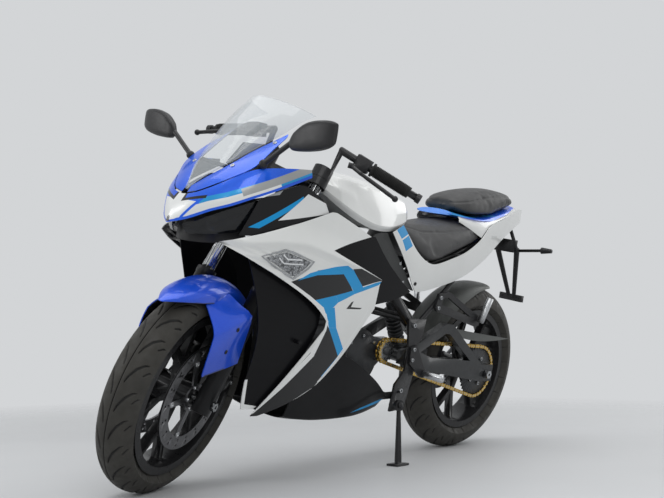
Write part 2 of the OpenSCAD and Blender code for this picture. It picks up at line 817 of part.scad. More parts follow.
// Bosses that carry the outer panel: columns x, z, root y
inner_boss_at = [[410, 460, 175], [420, 620, 180]];
function inner_grid(rows, across) =
  [for (row = smooth_rows(backwards(rows), 2))
    [for (k = [0:across]) let (t = k / across) [mix(row[1], row[3], t), mix(row[2], row[4], t), row[0]]]];
module inner_fairings() {
  color("#1a1b1d")
    parked()
      both_sides() {
        panel(inner_grid(inner_rows, 5), panel_wall);
        for (at = inner_boss_at)
          boss_to_fairing(at, at[2], 6);
        side_plate(spar_cover_y, spar_cover_y + panel_wall)
          polygon(spar_cover_outline);
        for (at = spar_boss_at)
          rod([at[0], spar_cover_y + 1, at[1]], [at[0], at[2] + 2 * seat_gap, at[1]], 7);
      }
}

// Cheek panels between the cowl's lower edge and the top of the side panels. Columns as in the ribbon panels
cheek_core = [450, -400, 0];
cheek_rows = [
  [612, 163, 838, 652, 149, 738, 2], [570, 176, 862, 600, 172, 744, 3], [516, 188, 886, 520, 190, 768, 3],
  [478, 194, 893, 452, 195, 790, 2], [400, 196, 858, 372, 194, 822, 0]
];
cheek_boss_at = [500, 776];
module cheek_panels() {
  color("#151618")
    parked()
      both_sides() {
        panel(ribbon(cheek_rows, 2, 5, cheek_core), panel_wall);
        boss_to_fairing(cheek_boss_at, 189, 5);
      }
}

// Belly pan: columns x, bottom z, bottom half-width, top z, top half-width
belly_rows = [
  [362, 214, 108, 300, 152], [316, 206, 106, 350, 168], [250, 200, 104, 414, 184], [190, 196, 102, 412, 186],
  [110, 192, 100, 376, 180], [0, 192, 95, 320, 162], [-88, 206, 85, 262, 136]
];
function belly_row(row, fine) =
  let (corners = [[0, row[1] - 3], [row[2], row[1]], [row[2] + 26, row[1] + 30], [row[4], row[3]]])
  let (half = smooth_rows(corners, fine))
  concat(
    [for (p = backwards(half)) [row[0], -p[0], p[1]]],
    [for (i = [1:len(half) - 1]) [row[0], half[i][0], half[i][1]]]
  );
module belly_pan() {
  color("#1c1d1f")
    parked()
      panel([for (row = smooth_rows(belly_rows, 2)) belly_row(row, 2)], panel_wall);
}

// Front turn signals: slim diamonds on the flank. Columns height, front x, rear x
signal_rows = [[711, 532, 520], [690, 590, 430], [672, 552, 448], [645, 498, 484]];
module front_signals() {
  color("#d8dade", 0.8)
    parked()
      both_sides()
        panel(raised(flank(signal_rows, 5), 2 * seat_gap + lens_wall), lens_wall);
}

// Tank cover with a crisp top edge and a stepped foot.
// Columns x, crown z, edge half-width, edge z, waist half-width, waist z, foot half-width, foot z
tank_rows = [
  [-106, 900, 66, 890, 90, 852, 84, 838], [-86, 912, 86, 897, 104, 838, 97, 822],
  [-30, 928, 93, 907, 119, 820, 110, 803], [40, 942, 97, 916, 133, 812, 123, 795],
  [110, 951, 98, 924, 138, 816, 128, 799], [180, 956, 92, 932, 134, 836, 124, 818],
  [246, 952, 80, 937, 120, 864, 110, 848], [294, 940, 56, 930, 86, 896, 78, 884]
];
// Drop of the underside's middle
tank_keel = 3;
function tank_ring(row) =
  let (side = [
    [row[6], row[7]], [row[4] - 2, row[5] - 6], [row[4], row[5]],
    mix([row[4], row[5]], [row[2], row[3]], 0.5) + [4, 2], [row[2] + 2, row[3] - 4], [row[2] - 3, row[3] + 1],
    [row[2] * 0.55, mix(row[3], row[1], 0.75)], [0, row[1]]
  ])
  concat(
    [[row[0], 0, row[7] - tank_keel]],
    [for (p = side) [row[0], p[0], p[1]]],
    [for (i = [len(side) - 2:-1:0]) [row[0], -side[i][0], side[i][1]]]
  );
module tank_cover() {
  color("#eceef0")
    parked()
      loft([for (row = smooth_rows(tank_rows, 3)) tank_ring(row)]);
}

// Dark knee panels below the tank: columns height, front x, rear x, y
knee_rows = [[792, 40, 10, 116], [770, 92, 0, 122], [690, 6, -74, 130], [614, -126, -146, 133]];
module knee_panels() {
  color("#3b3d41")
    parked()
      both_sides()
      {
        panel([for (row = smooth_rows(knee_rows, 2))
          [for (k = [0:4]) [mix(row[1], row[2], k / 4), row[3], row[0]]]], panel_wall);
        rod([-92, 130, 640], [-92, 118, 640], 5);
      }
}

// Seats. Columns as in body_ring
rider_rows = [
  [-520, 812, 864, 106, 114, 838, 84], [-480, 794, 871, 116, 122, 832, 92],
  [-400, 764, 862, 130, 136, 812, 100], [-300, 733, 844, 140, 144, 790, 102],
  [-200, 709, 836, 138, 144, 764, 94], [-150, 735, 836, 112, 118, 780, 78],
  [-124, 784, 846, 60, 74, 814, 44]
];
module rider_seat() {
  color("#2f3134")
    parked()
      loft(body_rings(rider_rows, 3, 3));
}

pillion_rows = [
  [-790, 958, 984, 46, 56, 972, 36], [-740, 942, 1002, 68, 78, 970, 54], [-640, 916, 1002, 88, 96, 954, 70],
  [-540, 897, 986, 98, 106, 936, 78], [-440, 892, 962, 96, 102, 924, 74], [-386, 906, 938, 62, 68, 920, 44]
];
module pillion_seat() {
  color("#2f3134")
    parked()
      loft(body_rings(pillion_rows, 3, 3));
}

// Blue tray under the pillion seat. Columns as in body_ring
trim_rows = [
  [-800, 932, 956, 48, 56, 944, 40], [-720, 908, 935, 74, 82, 920, 60], [-620, 884, 911, 90, 97, 896, 76],
  [-520, 876, 892, 104, 112, 884, 84], [-440, 876, 888, 100, 108, 882, 84], [-366, 880, 899, 66, 78, 888, 50]
];
module seat_trim() {
  color("#1f4fb4")
    parked()
      loft(body_rings(trim_rows, 3, 2));
}

// Tail fairing: ribbons along both flanks of the seats
tail_core = [0, -400, 0];
tail_rows = [
  [-46, 126, 824, 4, 128, 797, 1],
  [-92, 134, 776, -50, 134, 735, 2],
  [-130, 142, 738, -100, 138, 672, 3],
  [-200, 151, 706, -147, 138, 612, 4],
  [-300, 150, 732, -260, 132, 630, 4],
  [-400, 142, 762, -380, 122, 655, 4],
  [-505, 126, 814, -480, 112, 690, 4],
  [-548, 120, 860, -540, 108, 722, 4],
  [-620, 109, 886, -600, 102, 758, 4],
  [-700, 96, 912, -670, 90, 806, 3],
  [-790, 72, 944, -760, 74, 854, 2],
  [-862, 48, 950, -868, 47, 897, 0]
];
module tail_fairing() {
  color("#e9ebee")
    parked()
      both_sides()
        panel(backwards(ribbon(backwards(tail_rows), 2, 5, tail_core)), panel_wall);
}

lamp_rows = [
  [-884, 908, 932, 24, 30, 920, 18], [-872, 902, 946, 32, 38, 924, 26],
  [-840, 904, 958, 34, 40, 932, 28], [-800.5, 916, 952, 32, 38, 934, 26]
];
module tail_lamp() {
  color("#a8161b")
    parked()
      loft(body_rings(lamp_rows, 2, 2));
}

// Undertail: curved sheet between the tail's lower edges. Columns x, middle z, edge y, edge z
undertail_rows = [
  [-425, 672, 84, 682], [-520, 686, 82, 698], [-620, 740, 76, 752], [-720, 806, 64, 816], [-850, 866, 38, 872]
];
module undertail() {
  color("#18191b")
    parked()
      panel([for (row = smooth_rows(undertail_rows, 2))
        [for (k = [-4:4]) let (s = k / 4) [row[0], row[2] * s, mix(row[1], row[3], s * s)]]], panel_wall);
}

// Licence-plate holder: top bracket, two struts and a drilled cross bar
strut_top = [-887, 45, 787];
strut_low = [-978, 12, 597];
strut_r = 11;
strut_ball_r = 11.6;
plate_bar_at = [-985, 0, 592];
plate_hole_r = 3;
plate_hole_half_gap = 38;
module plate_holder() {
  color("#1b1c1e")
    parked() {
      both_sides() {
        rod([-846, 26, 866], strut_top, 7);
        rod(strut_top, strut_low, strut_r, strut_r - 3);
        translate(strut_top)
          sphere(strut_ball_r);
      }
      translate([-892, -40, 776])
        cube([46, 80, 50]);
      rod(strut_top + [0, 8, 0], flip_y(strut_top + [0, 8, 0]), 9);
      difference() {
        translate(plate_bar_at + [-4, -52, -13])
          cube([18, 104, 26]);
        both_sides()
          translate(plate_bar_at + [-20, plate_hole_half_gap, 0])
            rotate([0, 90, 0])
              cylinder(h = 60, r = plate_hole_r);
      }
    }
}

rear_signal_root = strut_top + [0, strut_ball_r + 1, 0];
rear_signal_tip = [-896, 150, 802];
module rear_signals() {
  color("#1b1c1e")
    parked()
      both_sides() {
        rod(rear_signal_root, rear_signal_tip, 6);
        rod(rear_signal_tip, rear_signal_tip + [-1, 42, 4], 13, 8);
      }
}

// Footrest brackets: rider's plates outside the pivot plates, open triangles for the passenger
footrest_y = [pivot_plate_y[1] + seat_gap, pivot_plate_y[1] + 8];
rider_peg_at = [-256, 0, 334];
pillion_peg_at = [-548, 0, 514];
hanger_y = [127.5, 137.5];
module footrest_brackets() {
  color("#222326")
    parked()
      both_sides() {
        side_plate(footrest_y[0], footrest_y[1]) {
          polygon([[-164, 426], [-196, 432], [-256, 348], [-256, 320], [-236, 322], [-168, 372]]);
          translate([rider_peg_at.x, rider_peg_at.z])
            circle(15);
        }
        side_plate(hanger_y[0], hanger_y[1])
          difference() {
            polygon([
              [-290, 608], [-346, 618], [-560, 530], [-560, 500], [-534, 496], [-290, 548], [-278, 560]
            ]);
            polygon([[-318, 592], [-344, 598], [-500, 530], [-312, 572]]);
          }
      }
}

module footpegs() {
  color("#b9bbbd")
    parked()
      both_sides() {
        along_y(rider_peg_at + [0, footrest_y[1] + seat_gap + 78, 0])
          cylinder(h = 78, r = peg_r);
        rod(pillion_peg_at + [0, hanger_y[1] + seat_gap + peg_r, 0],
          pillion_peg_at + [-14, hanger_y[1] + 30, 92], peg_r);
      }
}

// Side stand: eye on its bolt, leg and foot
module side_stand() {
  color("#b4b6b8")
    parked()
      difference() {
        union() {
          rod(stand_pivot - stand_eye_half * stand_axis, stand_pivot + stand_eye_half * stand_axis, stand_eye_r);
          rod(stand_pivot, stand_foot + [0, 0, foot_thick / 2], stand_eye_half - 0.5, stand_r);
          translate(stand_foot)
            rotate([lean, 0, 0])
              rotate([0, -rest_pitch, 0])
                translate([-foot_size[0] / 2, -foot_size[1] / 2, 0])
                  cube([foot_size[0], foot_size[1], foot_thick]);
        }
        rod(stand_pivot - 20 * stand_axis, stand_pivot + 20 * stand_axis, stand_bolt_r + running_gap);
      }
}

// Front end
lower_yoke_z = head_low - 2 - yoke_thick;
upper_yoke_z = head_high + 2;
module yoke_outline() {
  for (side = [-1, 1])
    translate([0, side * fork_half_gap])
      circle(fork_tube_r + 9);
  translate([-fork_offset, 0])
    circle(28);
  polygon([
    [-fork_offset - 20, 20], [-8, fork_half_gap + 10], [18, fork_half_gap - 18], [-10, 0],
    [18, 18 - fork_half_gap], [-8, -fork_half_gap - 10], [-fork_offset - 20, -20]
  ]);
}
module steering_yokes() {
  color("#2b2d30")
    parked()
      steered()
        at_fork()
          difference() {
            union() {
              for (z = [lower_yoke_z, upper_yoke_z])
                translate([0, 0, z])
                  linear_extrude(height = yoke_thick)
                    yoke_outline();
              translate([-fork_offset, 0, lower_yoke_z])
                cylinder(h = upper_yoke_z - lower_yoke_z + yoke_thick + 10, r = stem_r);
            }
            for (side = [-1, 1])
              translate([0, side * fork_half_gap, 0])
                cylinder(h = 1000, r = fork_tube_r + running_gap);
          }
}

tube_low = 120;
tube_high = 748;
module fork_tubes() {
  color("#c6c8ca")
    parked()
      steered()
        at_fork()
          both_sides()
            translate([0, fork_half_gap, tube_low])
              cylinder(h = tube_high - tube_low, r = fork_tube_r);
}

slider_low = -32;
module fork_sliders() {
  color("#202124")
    parked()
      steered()
        at_fork()
          both_sides()
            difference() {
              union() {
                translate([0, fork_half_gap, slider_low])
                  cylinder(h = slider_length - slider_low, r = slider_r);
                translate([0, fork_half_gap, slider_length - 16])
                  cylinder(h = 16, r = slider_r + 2);
              }
              translate([0, fork_half_gap, tube_low - 10])
                cylinder(h = 1000, r = fork_tube_r + running_gap);
              translate([0, 300, 0])
                rotate([90, 0, 0])
                  cylinder(h = 600, r = front_axle_r + running_gap);
            }
}

front_axle_half = fork_half_gap + slider_r + 4;
module front_axle() {
  color("#a9abad")
    parked()
      steered()
        difference() {
          union() {
            along_y(front_axle_at + [0, front_axle_half, 0])
              cylinder(h = 2 * front_axle_half, r = front_axle_r);
            both_sides()
              along_y(front_axle_at + [0, front_axle_half + 6, 0])
                cylinder(h = 9, r = 13, $fn = 6);
          }
          along_y(front_axle_at + [0, 200, 0])
            cylinder(h = 400, r = axle_bore_r);
        }
}

// Front fender: crowned cover, with a wing in front of each fork leg
fender_rows = [
  [53, 53, 6, 50], [62, 44, 40, 23], [75, 38, 58, -7], [95, 37, 61, -21],
  [120, 34, 61, -17], [138, 30, 58, -5], [152, 26, 50, 9]
];
wing_y = fork_half_gap + slider_r + panel_wall + 3 * seat_gap;
// Columns front angle, front height over the tread, front y, then the same for the rear edge, swell
wing_angles = [
  [75.8, -11.4, 52, 95.2, 5.2, 58, 0], [72.1, -42, 86, 99.8, -16, 96, 5],
  [68.2, -70, 108, 105.3, -31.7, wing_y, 4], [57.7, -119, 112, 110.3, -93.7, wing_y, 3],
  [48.2, -168.3, 106, 118.5, -161, wing_y, 2]
];
function over_tyre(angle, height, y) =
  front_axle_at + [(front_tyre_r + height) * cos(angle), y, (front_tyre_r + height) * sin(angle)];
wing_rows = [for (row = wing_angles)
  concat(over_tyre(row[0], row[1], row[2]), over_tyre(row[3], row[4], row[5]), [row[6]])];
wing_core = [690, -400, 0];
module front_fender() {
  color("#e9ebee")
    parked()
      steered() {
        panel(cover(fender_rows, front_axle_at, front_tyre_r, 2, 6), panel_wall);
        both_sides()
          panel(ribbon(wing_rows, 2, 4, wing_core), panel_wall);
      }
}

front_disc_y = 55;
caliper_angle = 43;
caliper_r = front_disc_r + disc_gap - 10;
module front_calipers() {
  color("#2a2b2e")
    parked()
      steered()
        at_fork()
          both_sides()
            rotate([0, -caliper_angle, 0])
              translate([0, front_disc_y, caliper_r])
                caliper_body(86, 50, 20, disc_thick / 2 + disc_gap);
}

// Handlebars: clamps on the fork tubes, risers and bars
bar_inner = [329, 114, 1034];
bar_outer = [273, 358, 970];
clamp_z = [upper_yoke_z + yoke_thick + 1, tube_high - 2];
riser_foot = [358, 108, 956];
bar_way = unit(bar_outer - bar_inner);
grip_start = 106;
module handlebars() {
  color("#25272a")
    parked()
      steered()
        both_sides()
          difference() {
            union() {
              at_fork()
                translate([0, fork_half_gap, clamp_z[0]])
                  cylinder(h = clamp_z[1] - clamp_z[0], r = fork_tube_r + 9);
              rod(riser_foot, bar_inner, 10);
              translate(bar_inner)
                sphere(bar_r);
              rod(bar_inner, bar_outer, bar_r);
              rod(bar_outer, bar_outer + 14 * bar_way, grip_r - 3);
            }
            at_fork()
              translate([0, fork_half_gap, 0])
                cylinder(h = 1000, r = fork_tube_r + running_gap);
          }
}

module on_bar(start) {
  d = bar_way;
  translate(bar_inner + start * bar_way)
    rotate([0, acos(d[2]), atan2(d[1], d[0])])
      children();
}

module grips() {
  color("#1e1f21")
    parked()
      steered()
        both_sides()
          on_bar(grip_start)
            difference() {
              union() {
                cylinder(h = grip_length, r = grip_r);
                cylinder(h = 6, r = grip_r + 4);
              }
              translate([0, 0, -1])
                cylinder(h = grip_length + 2, r = bar_r + running_gap);
            }
}

pod_start = 52;
pod_length = 46;
lever_root = [372, 176, 1003];
lever_bend = [400, 220, 992];
lever_tip = [388, 336, 954];
lever_eye_r = 10;
perch_root = [325, 184, lever_root.z];
perch_end = lever_root - (lever_eye_r + seat_gap) * unit(lever_root - perch_root);
module control_pods() {
  color("#1d1e20")
    parked()
      steered()
        both_sides() {
          on_bar(pod_start)
            difference() {
              translate([-20, -20, 0])
                cube([40, 44, pod_length]);
              translate([0, 0, -1])
                cylinder(h = pod_length + 2, r = bar_r + running_gap);
            }
          rod(perch_root, perch_end, 7);
        }
}

module levers() {
  color("#26282b")
    parked()
      steered()
        both_sides() {
          tube_path([lever_root, lever_bend, mix(lever_bend, lever_tip, 0.5), lever_tip], 6, 10);
          translate(lever_root - [0, 0, 8])
            cylinder(h = 16, r = lever_eye_r);
          translate(lever_tip)
            sphere(9);
        }
}

// Wheels: tyre, rim with forked spokes, hub
module tyre_profile(tyre_r, half, rim_half) {
  intersection() {
    translate([tyre_r - half, 0])
      circle(half);
    polygon([
      [bead_seat_r + 1, -rim_half + 7], [bead_seat_r + 1, rim_half - 7], [bead_seat_r + 16, rim_half - 6],
      [bead_seat_r + 34, half + 1], [tyre_r + 1, half + 1], [tyre_r + 1, -half - 1],
      [bead_seat_r + 34, -half - 1], [bead_seat_r + 16, -rim_half + 6]
    ]);
  }
}
module tyre(tyre_r, half, rim_half) {
  rotate_extrude($fn = 96)
    tyre_profile(tyre_r, half, rim_half);
}

module spoke_bar(from, to, half_from, half_to) {
  way = unit(to - from);
  side = [-way[1], way[0]];
  polygon([from + half_from * side, from - half_from * side, to - half_to * side, to + half_to * side]);
}
rim_wall = 8;
fork_r = 108;
module rim(rim_half, hub_r, hub_half, bore_r) {
  inner_r = bead_seat_r - rim_wall;
  difference() {
    union() {
      rotate_extrude($fn = 96)
        polygon([
          [bead_seat_r, -rim_half + 7], [bead_seat_r + 14, -rim_half + 6], [bead_seat_r + 14, -rim_half],
          [inner_r, -rim_half], [inner_r - 4, -rim_half + 12],
          [inner_r - 4, rim_half - 12], [inner_r, rim_half],
          [bead_seat_r + 14, rim_half], [bead_seat_r + 14, rim_half - 6], [bead_seat_r, rim_half - 7]
        ]);
      for (i = [0:spoke_count - 1])
        rotate(i * 360 / spoke_count)
          translate([0, 0, -spoke_thick / 2])
            linear_extrude(height = spoke_thick) {
              spoke_bar([hub_r - 6, 0], [fork_r, 0], 15, 11);
              for (side = [-1, 1])
                spoke_bar([fork_r - 10, side * 4], (inner_r - 1) * [cos(17), side * sin(17)], 9, 8);
            }
      cylinder(h = 2 * hub_half, r = hub_r, center = true);
    }
    cylinder(h = 4 * hub_half, r = bore_r, center = true);
  }
}

front_rim_half = 44;
front_hub_half = front_disc_y - disc_thick / 2;
rear_rim_half = 54;
hub_r = 36;

module front_tyre() {
  color("#161616")
    parked()
      steered()
        along_y(front_axle_at)
          tyre(front_tyre_r, front_tyre_half, front_rim_half);
}
module front_rim() {
  color("#1f2022")
    parked()
      steered()
        along_y(front_axle_at)
          rim(front_rim_half, hub_r, front_hub_half, front_axle_r + running_gap);
}

disc_band = 37;
module brake_disc(r) {
  inner = r - disc_band;
  linear_extrude(height = disc_thick, center = true)
    difference() {
      union() {
        difference() {
          circle(r);
          circle(inner);
        }
        for (i = [0:4])
          rotate(i * 72)
            translate([hub_r - 4, -9])
              square([inner - hub_r + 8, 18]);
        circle(hub_r + 4);
      }
      circle(22);
      for (i = [0:17])
        rotate(i * 20)
          for (k = [0:1])
            translate([inner + 11 + 14 * k, 0])
              rotate(0)
                circle(4, $fn = 16);
    }
}
module front_discs() {
  color("#9fa2a5")
    parked()
      steered()
        both_sides()
          along_y(front_axle_at + [0, front_disc_y + seat_gap, 0])
            brake_disc(front_disc_r);
}

module rear_tyre() {
  color("#161616")
    parked()
      along_y(rear_axle_at)
        tyre(rear_tyre_r, rear_tyre_half, rear_rim_half);
}
rear_hub_half = -rear_disc_y - disc_thick / 2;
carrier_r = 62;
module rear_rim() {
  color("#1f2022")
    parked()
      along_y(rear_axle_at)
      {
        rim(rear_rim_half, hub_r, rear_hub_half, rear_axle_r + running_gap);
        difference() {
          translate([0, 0, -chain_y + sprocket_half + seat_gap])
            cylinder(h = 30, r = carrier_r);
          translate([0, 0, -200])
            cylinder(h = 400, r = rear_axle_r + running_gap);
        }
      }
}
module rear_disc() {
  color("#9fa2a5")
    parked()
      along_y(rear_axle_at + [0, rear_disc_y - seat_gap, 0])
        brake_disc(rear_disc_r);
}
module rear_sprocket() {
  color("#77797c")
    parked()
      along_y(rear_axle_at + [0, chain_y + sprocket_half, 0])
        linear_extrude(height = 2 * sprocket_half)
          difference() {
            toothed(large_sprocket_r);
            circle(rear_axle_r + 12);
          }
}

frame();
battery_box();
drive_motor();
front_sprocket();
swingarm();
rear_shock();
rear_axle();
drive_chain();
rear_hugger();
rear_caliper();
nose_cowl();
screen_surround();
windscreen();
headlights();
lamp_housing();
instrument_panel();
mirrors();
side_fairings();
cheek_panels();
inner_fairings();
belly_pan();
front_signals();
tank_cover();
knee_panels();
rider_seat();
pillion_seat();
tail_fairing();
seat_trim();
tail_lamp();
undertail();
plate_holder();
rear_signals();
footrest_brackets();
footpegs();
side_stand();
steering_yokes();
fork_tubes();
fork_sliders();
front_axle();
front_fender();
front_calipers();
handlebars();
grips();
control_pods();
levers();
front_tyre();
front_rim();
front_discs();
rear_tyre();
rear_rim();
rear_disc();
rear_sprocket();
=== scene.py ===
"""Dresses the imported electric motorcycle: paint, soft seats, treaded tyres, chain, lamps and fasteners."""
import json
import math
import bpy
import bmesh
import numpy as np
from mathutils import Matrix, Vector
from mathutils.bvhtree import BVHTree

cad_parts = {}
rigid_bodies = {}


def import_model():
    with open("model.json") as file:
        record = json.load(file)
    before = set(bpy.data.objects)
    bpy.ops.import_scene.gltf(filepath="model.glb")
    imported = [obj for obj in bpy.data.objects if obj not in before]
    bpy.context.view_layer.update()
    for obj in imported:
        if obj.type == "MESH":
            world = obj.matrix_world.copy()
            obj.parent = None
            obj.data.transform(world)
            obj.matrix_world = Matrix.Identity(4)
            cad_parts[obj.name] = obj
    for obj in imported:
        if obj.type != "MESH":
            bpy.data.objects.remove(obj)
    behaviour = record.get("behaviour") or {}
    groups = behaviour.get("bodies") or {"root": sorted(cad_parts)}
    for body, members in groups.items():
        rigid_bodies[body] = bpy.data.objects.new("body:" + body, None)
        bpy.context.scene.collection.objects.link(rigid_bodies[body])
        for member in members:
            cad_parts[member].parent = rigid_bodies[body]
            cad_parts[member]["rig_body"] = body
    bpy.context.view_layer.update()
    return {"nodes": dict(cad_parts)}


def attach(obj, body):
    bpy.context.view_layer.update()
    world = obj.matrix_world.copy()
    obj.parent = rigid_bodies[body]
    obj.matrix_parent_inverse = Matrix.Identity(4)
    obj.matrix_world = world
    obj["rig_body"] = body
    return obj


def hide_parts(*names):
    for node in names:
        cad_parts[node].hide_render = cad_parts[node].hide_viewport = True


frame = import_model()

scene = bpy.context.scene
MM = 0.001
SIDES = (1, -1)  # left and right
FAR = 400  # a place outside the machine, in millimetres across
FOLD = 34  # degrees past which an edge stays sharp
CORNER = 38  # degrees past which a bend in a sharp edge stays a corner
WELD = 0.02 * MM

# The parked stance, as in the CAD: sizes in millimetres on an upright machine
LEAN = math.radians(13)
PITCH = math.radians(0.2638)
LOCK = math.radians(23)
RAKE = math.radians(25)
PARK_SHIFT = Vector((18, -230, -1.3195))
FRONT_AXLE = Vector((675, 0, 293))
REAR_AXLE = Vector((-671.38, 0, 314))
FORK_OFFSET = 37.7
STEER_AXIS = Vector((-math.sin(RAKE), 0, math.cos(RAKE)))
STEER_FOOT = FRONT_AXLE - FORK_OFFSET * Vector((math.cos(RAKE), 0, math.sin(RAKE)))


def shift(v):
    return Matrix.Translation(v)


# Upright millimetres to the frame's metres, for the chassis and for the turned front end
PARKED = (Matrix.Scale(MM, 4) @ shift(PARK_SHIFT) @ Matrix.Rotation(PITCH, 4, "Y")
          @ Matrix.Rotation(-LEAN, 4, "X"))
STEERED = PARKED @ shift(STEER_FOOT) @ Matrix.Rotation(LOCK, 4, STEER_AXIS) @ shift(-STEER_FOOT)
FORK = STEERED @ shift(FRONT_AXLE) @ Matrix.Rotation(-RAKE, 4, "Y")
FRONT_HUB, REAR_HUB = STEERED @ shift(FRONT_AXLE), PARKED @ shift(REAR_AXLE)
BODY_FRAME = {"chassis": PARKED, "steering": STEERED, "front_wheel": STEERED, "rear_wheel": PARKED,
              "side_stand": PARKED}


class Field:
    """A number that varies over a surface, put together from shader nodes."""

    def __init__(self, tree, socket):
        self.tree = tree
        self.socket = socket

    def join(self, operation, *others, clamp=False):
        node = self.tree.nodes.new("ShaderNodeMath")
        node.operation = operation
        node.use_clamp = clamp
        for i, term in enumerate((self,) + others):
            if isinstance(term, Field):
                self.tree.links.new(term.socket, node.inputs[i])
            else:
                node.inputs[i].default_value = term
        return Field(self.tree, node.outputs[0])

    def __add__(self, other):
        return self.join("ADD", other)

    def __sub__(self, other):
        return self.join("SUBTRACT", other)

    def __mul__(self, other):
        return self.join("MULTIPLY", other)

    def least(self, other):
        return self.join("MINIMUM", other)

    def most(self, other):
        return self.join("MAXIMUM", other)

    def size(self):
        return self.join("ABSOLUTE")

    def power(self, other):
        return self.join("POWER", other)

    def flipped(self):
        return self.join("MULTIPLY", -1.0)

    def mask(self, soft=0.5):
        """1 where the field is above zero, with an edge of `soft`."""
        return self.join("MULTIPLY_ADD", 1.0 / soft, 0.5, clamp=True)


class Surface:
    """One material under construction: a Principled shader and the fields that feed it."""

    def __init__(self, name, rough, metal=0.0, coat=0.0, spec=0.5):
        self.material = bpy.data.materials.new(name)
        self.material.use_nodes = True
        self.tree = self.material.node_tree
        self.shader = self.tree.nodes["Principled BSDF"]
        self.set("Roughness", rough)
        self.set("Metallic", metal)
        self.set("Coat Weight", coat)
        self.set("Coat Roughness", 0.04)
        self.set("Specular IOR Level", spec)
        self.coords = self.tree.nodes.new("ShaderNodeTexCoord").outputs["Object"]

    def set(self, name, value):
        self.shader.inputs[name].default_value = value

    def link(self, name, field):
        socket = field.socket if isinstance(field, Field) else field
        self.tree.links.new(socket, self.shader.inputs[name])

    def place(self, matrix):
        """Object coordinates taken back through `matrix`: upright millimetres."""
        node = self.tree.nodes.new("ShaderNodeMapping")
        node.vector_type = "TEXTURE"
        where, turn, scale = matrix.decompose()
        node.inputs["Location"].default_value = where
        node.inputs["Rotation"].default_value = turn.to_euler("XYZ")
        node.inputs["Scale"].default_value = scale
        self.tree.links.new(self.coords, node.inputs["Vector"])
        return node.outputs[0]

    def axes(self, vector):
        node = self.tree.nodes.new("ShaderNodeSeparateXYZ")
        self.tree.links.new(vector, node.inputs[0])
        return [Field(self.tree, node.outputs[i]) for i in range(3)]

    def side_view(self):
        """Fields of x and z on the upright machine."""
        x, _, z = self.axes(self.place(PARKED))
        return x, z

    def point(self, *terms):
        node = self.tree.nodes.new("ShaderNodeCombineXYZ")
        for i, term in enumerate(terms):
            if isinstance(term, Field):
                self.tree.links.new(term.socket, node.inputs[i])
            else:
                node.inputs[i].default_value = term
        return node.outputs[0]

    def attribute(self, name):
        node = self.tree.nodes.new("ShaderNodeAttribute")
        node.attribute_name = name
        return Field(self.tree, node.outputs["Fac"])

    def noise(self, size, detail=3.0, vector=None, stretch=None):
        """Noise from 0 to 1 whose features are about `size` metres across (or units of `vector`)."""
        if stretch:
            node = self.tree.nodes.new("ShaderNodeMapping")
            node.inputs["Scale"].default_value = stretch
            self.tree.links.new(vector or self.coords, node.inputs["Vector"])
            vector = node.outputs[0]
        node = self.tree.nodes.new("ShaderNodeTexNoise")
        node.inputs["Scale"].default_value = 1.0 / size
        node.inputs["Detail"].default_value = detail
        self.tree.links.new(vector or self.coords, node.inputs["Vector"])
        return Field(self.tree, node.outputs["Fac"])

    def cells(self, size):
        """Distance from the middle of round cells about `size` metres across."""
        node = self.tree.nodes.new("ShaderNodeTexVoronoi")
        node.inputs["Scale"].default_value = 1.0 / size
        self.tree.links.new(self.coords, node.inputs["Vector"])
        return Field(self.tree, node.outputs["Distance"])

    def mix(self, field, low, high):
        """Colour `low` where the field is 0 and `high` where it is 1."""
        node = self.tree.nodes.new("ShaderNodeMix")
        node.data_type = "RGBA"
        self.tree.links.new(field.socket, node.inputs[0])
        for index, colour in ((6, low), (7, high)):
            if isinstance(colour, tuple):
                node.inputs[index].default_value = (*colour[:3], 1)
            else:
                self.tree.links.new(colour, node.inputs[index])
        return node.outputs[2]

    def over(self, field, colour):
        """Lays a colour over the paint where the field is above zero."""
        self.base = self.mix(field.mask(), self.base, colour)

    def vary(self, low, high, field):
        """A field that runs from low to high as `field` runs from 0.3 to 0.7."""
        node = self.tree.nodes.new("ShaderNodeMapRange")
        node.inputs["From Min"].default_value = 0.3
        node.inputs["From Max"].default_value = 0.7
        node.inputs["To Min"].default_value = low
        node.inputs["To Max"].default_value = high
        self.tree.links.new(field.socket, node.inputs["Value"])
        return Field(self.tree, node.outputs[0])

    def bump(self, field, depth, coat=False):
        """Relief of `depth` metres on the surface, and on its clear coat where `coat` is set."""
        node = self.tree.nodes.new("ShaderNodeBump")
        node.inputs["Distance"].default_value = depth
        self.tree.links.new(field.socket, node.inputs["Height"])
        self.tree.links.new(node.outputs[0], self.shader.inputs["Normal"])
        if coat:
            self.tree.links.new(node.outputs[0], self.shader.inputs["Coat Normal"])

    def inside(self, plane, points):
        """Signed distance into a convex outline, from a pair of fields (across, up) in millimetres."""
        u, v = plane
        area = sum(a[0] * b[1] - b[0] * a[1] for a, b in zip(points, points[1:] + points[:1]))
        turn = 1 if area > 0 else -1
        depth = None
        for a, b in zip(points, points[1:] + points[:1]):
            way = Vector((b[0] - a[0], b[1] - a[1])).normalized() * turn
            edge = u * -way.y + (v * way.x + (way.y * a[0] - way.x * a[1]))
            depth = edge if depth is None else depth.least(edge)
        return depth

    def inside_any(self, plane, outlines):
        depth = None
        for points in outlines:
            part = self.inside(plane, points)
            depth = part if depth is None else depth.most(part)
        return depth

    def along(self, plane, points, half):
        """Signed distance into a band of half-width `half` along a line of points."""
        quads = []
        for a, b in zip(points, points[1:]):
            way = Vector((b[0] - a[0], b[1] - a[1])).normalized()
            side = Vector((-way.y, way.x)) * half
            a2, b2 = Vector(a) - way * half * 0.4, Vector(b) + way * half * 0.4
            quads.append([tuple(a2 - side), tuple(b2 - side), tuple(b2 + side), tuple(a2 + side)])
        return self.inside_any(plane, quads)


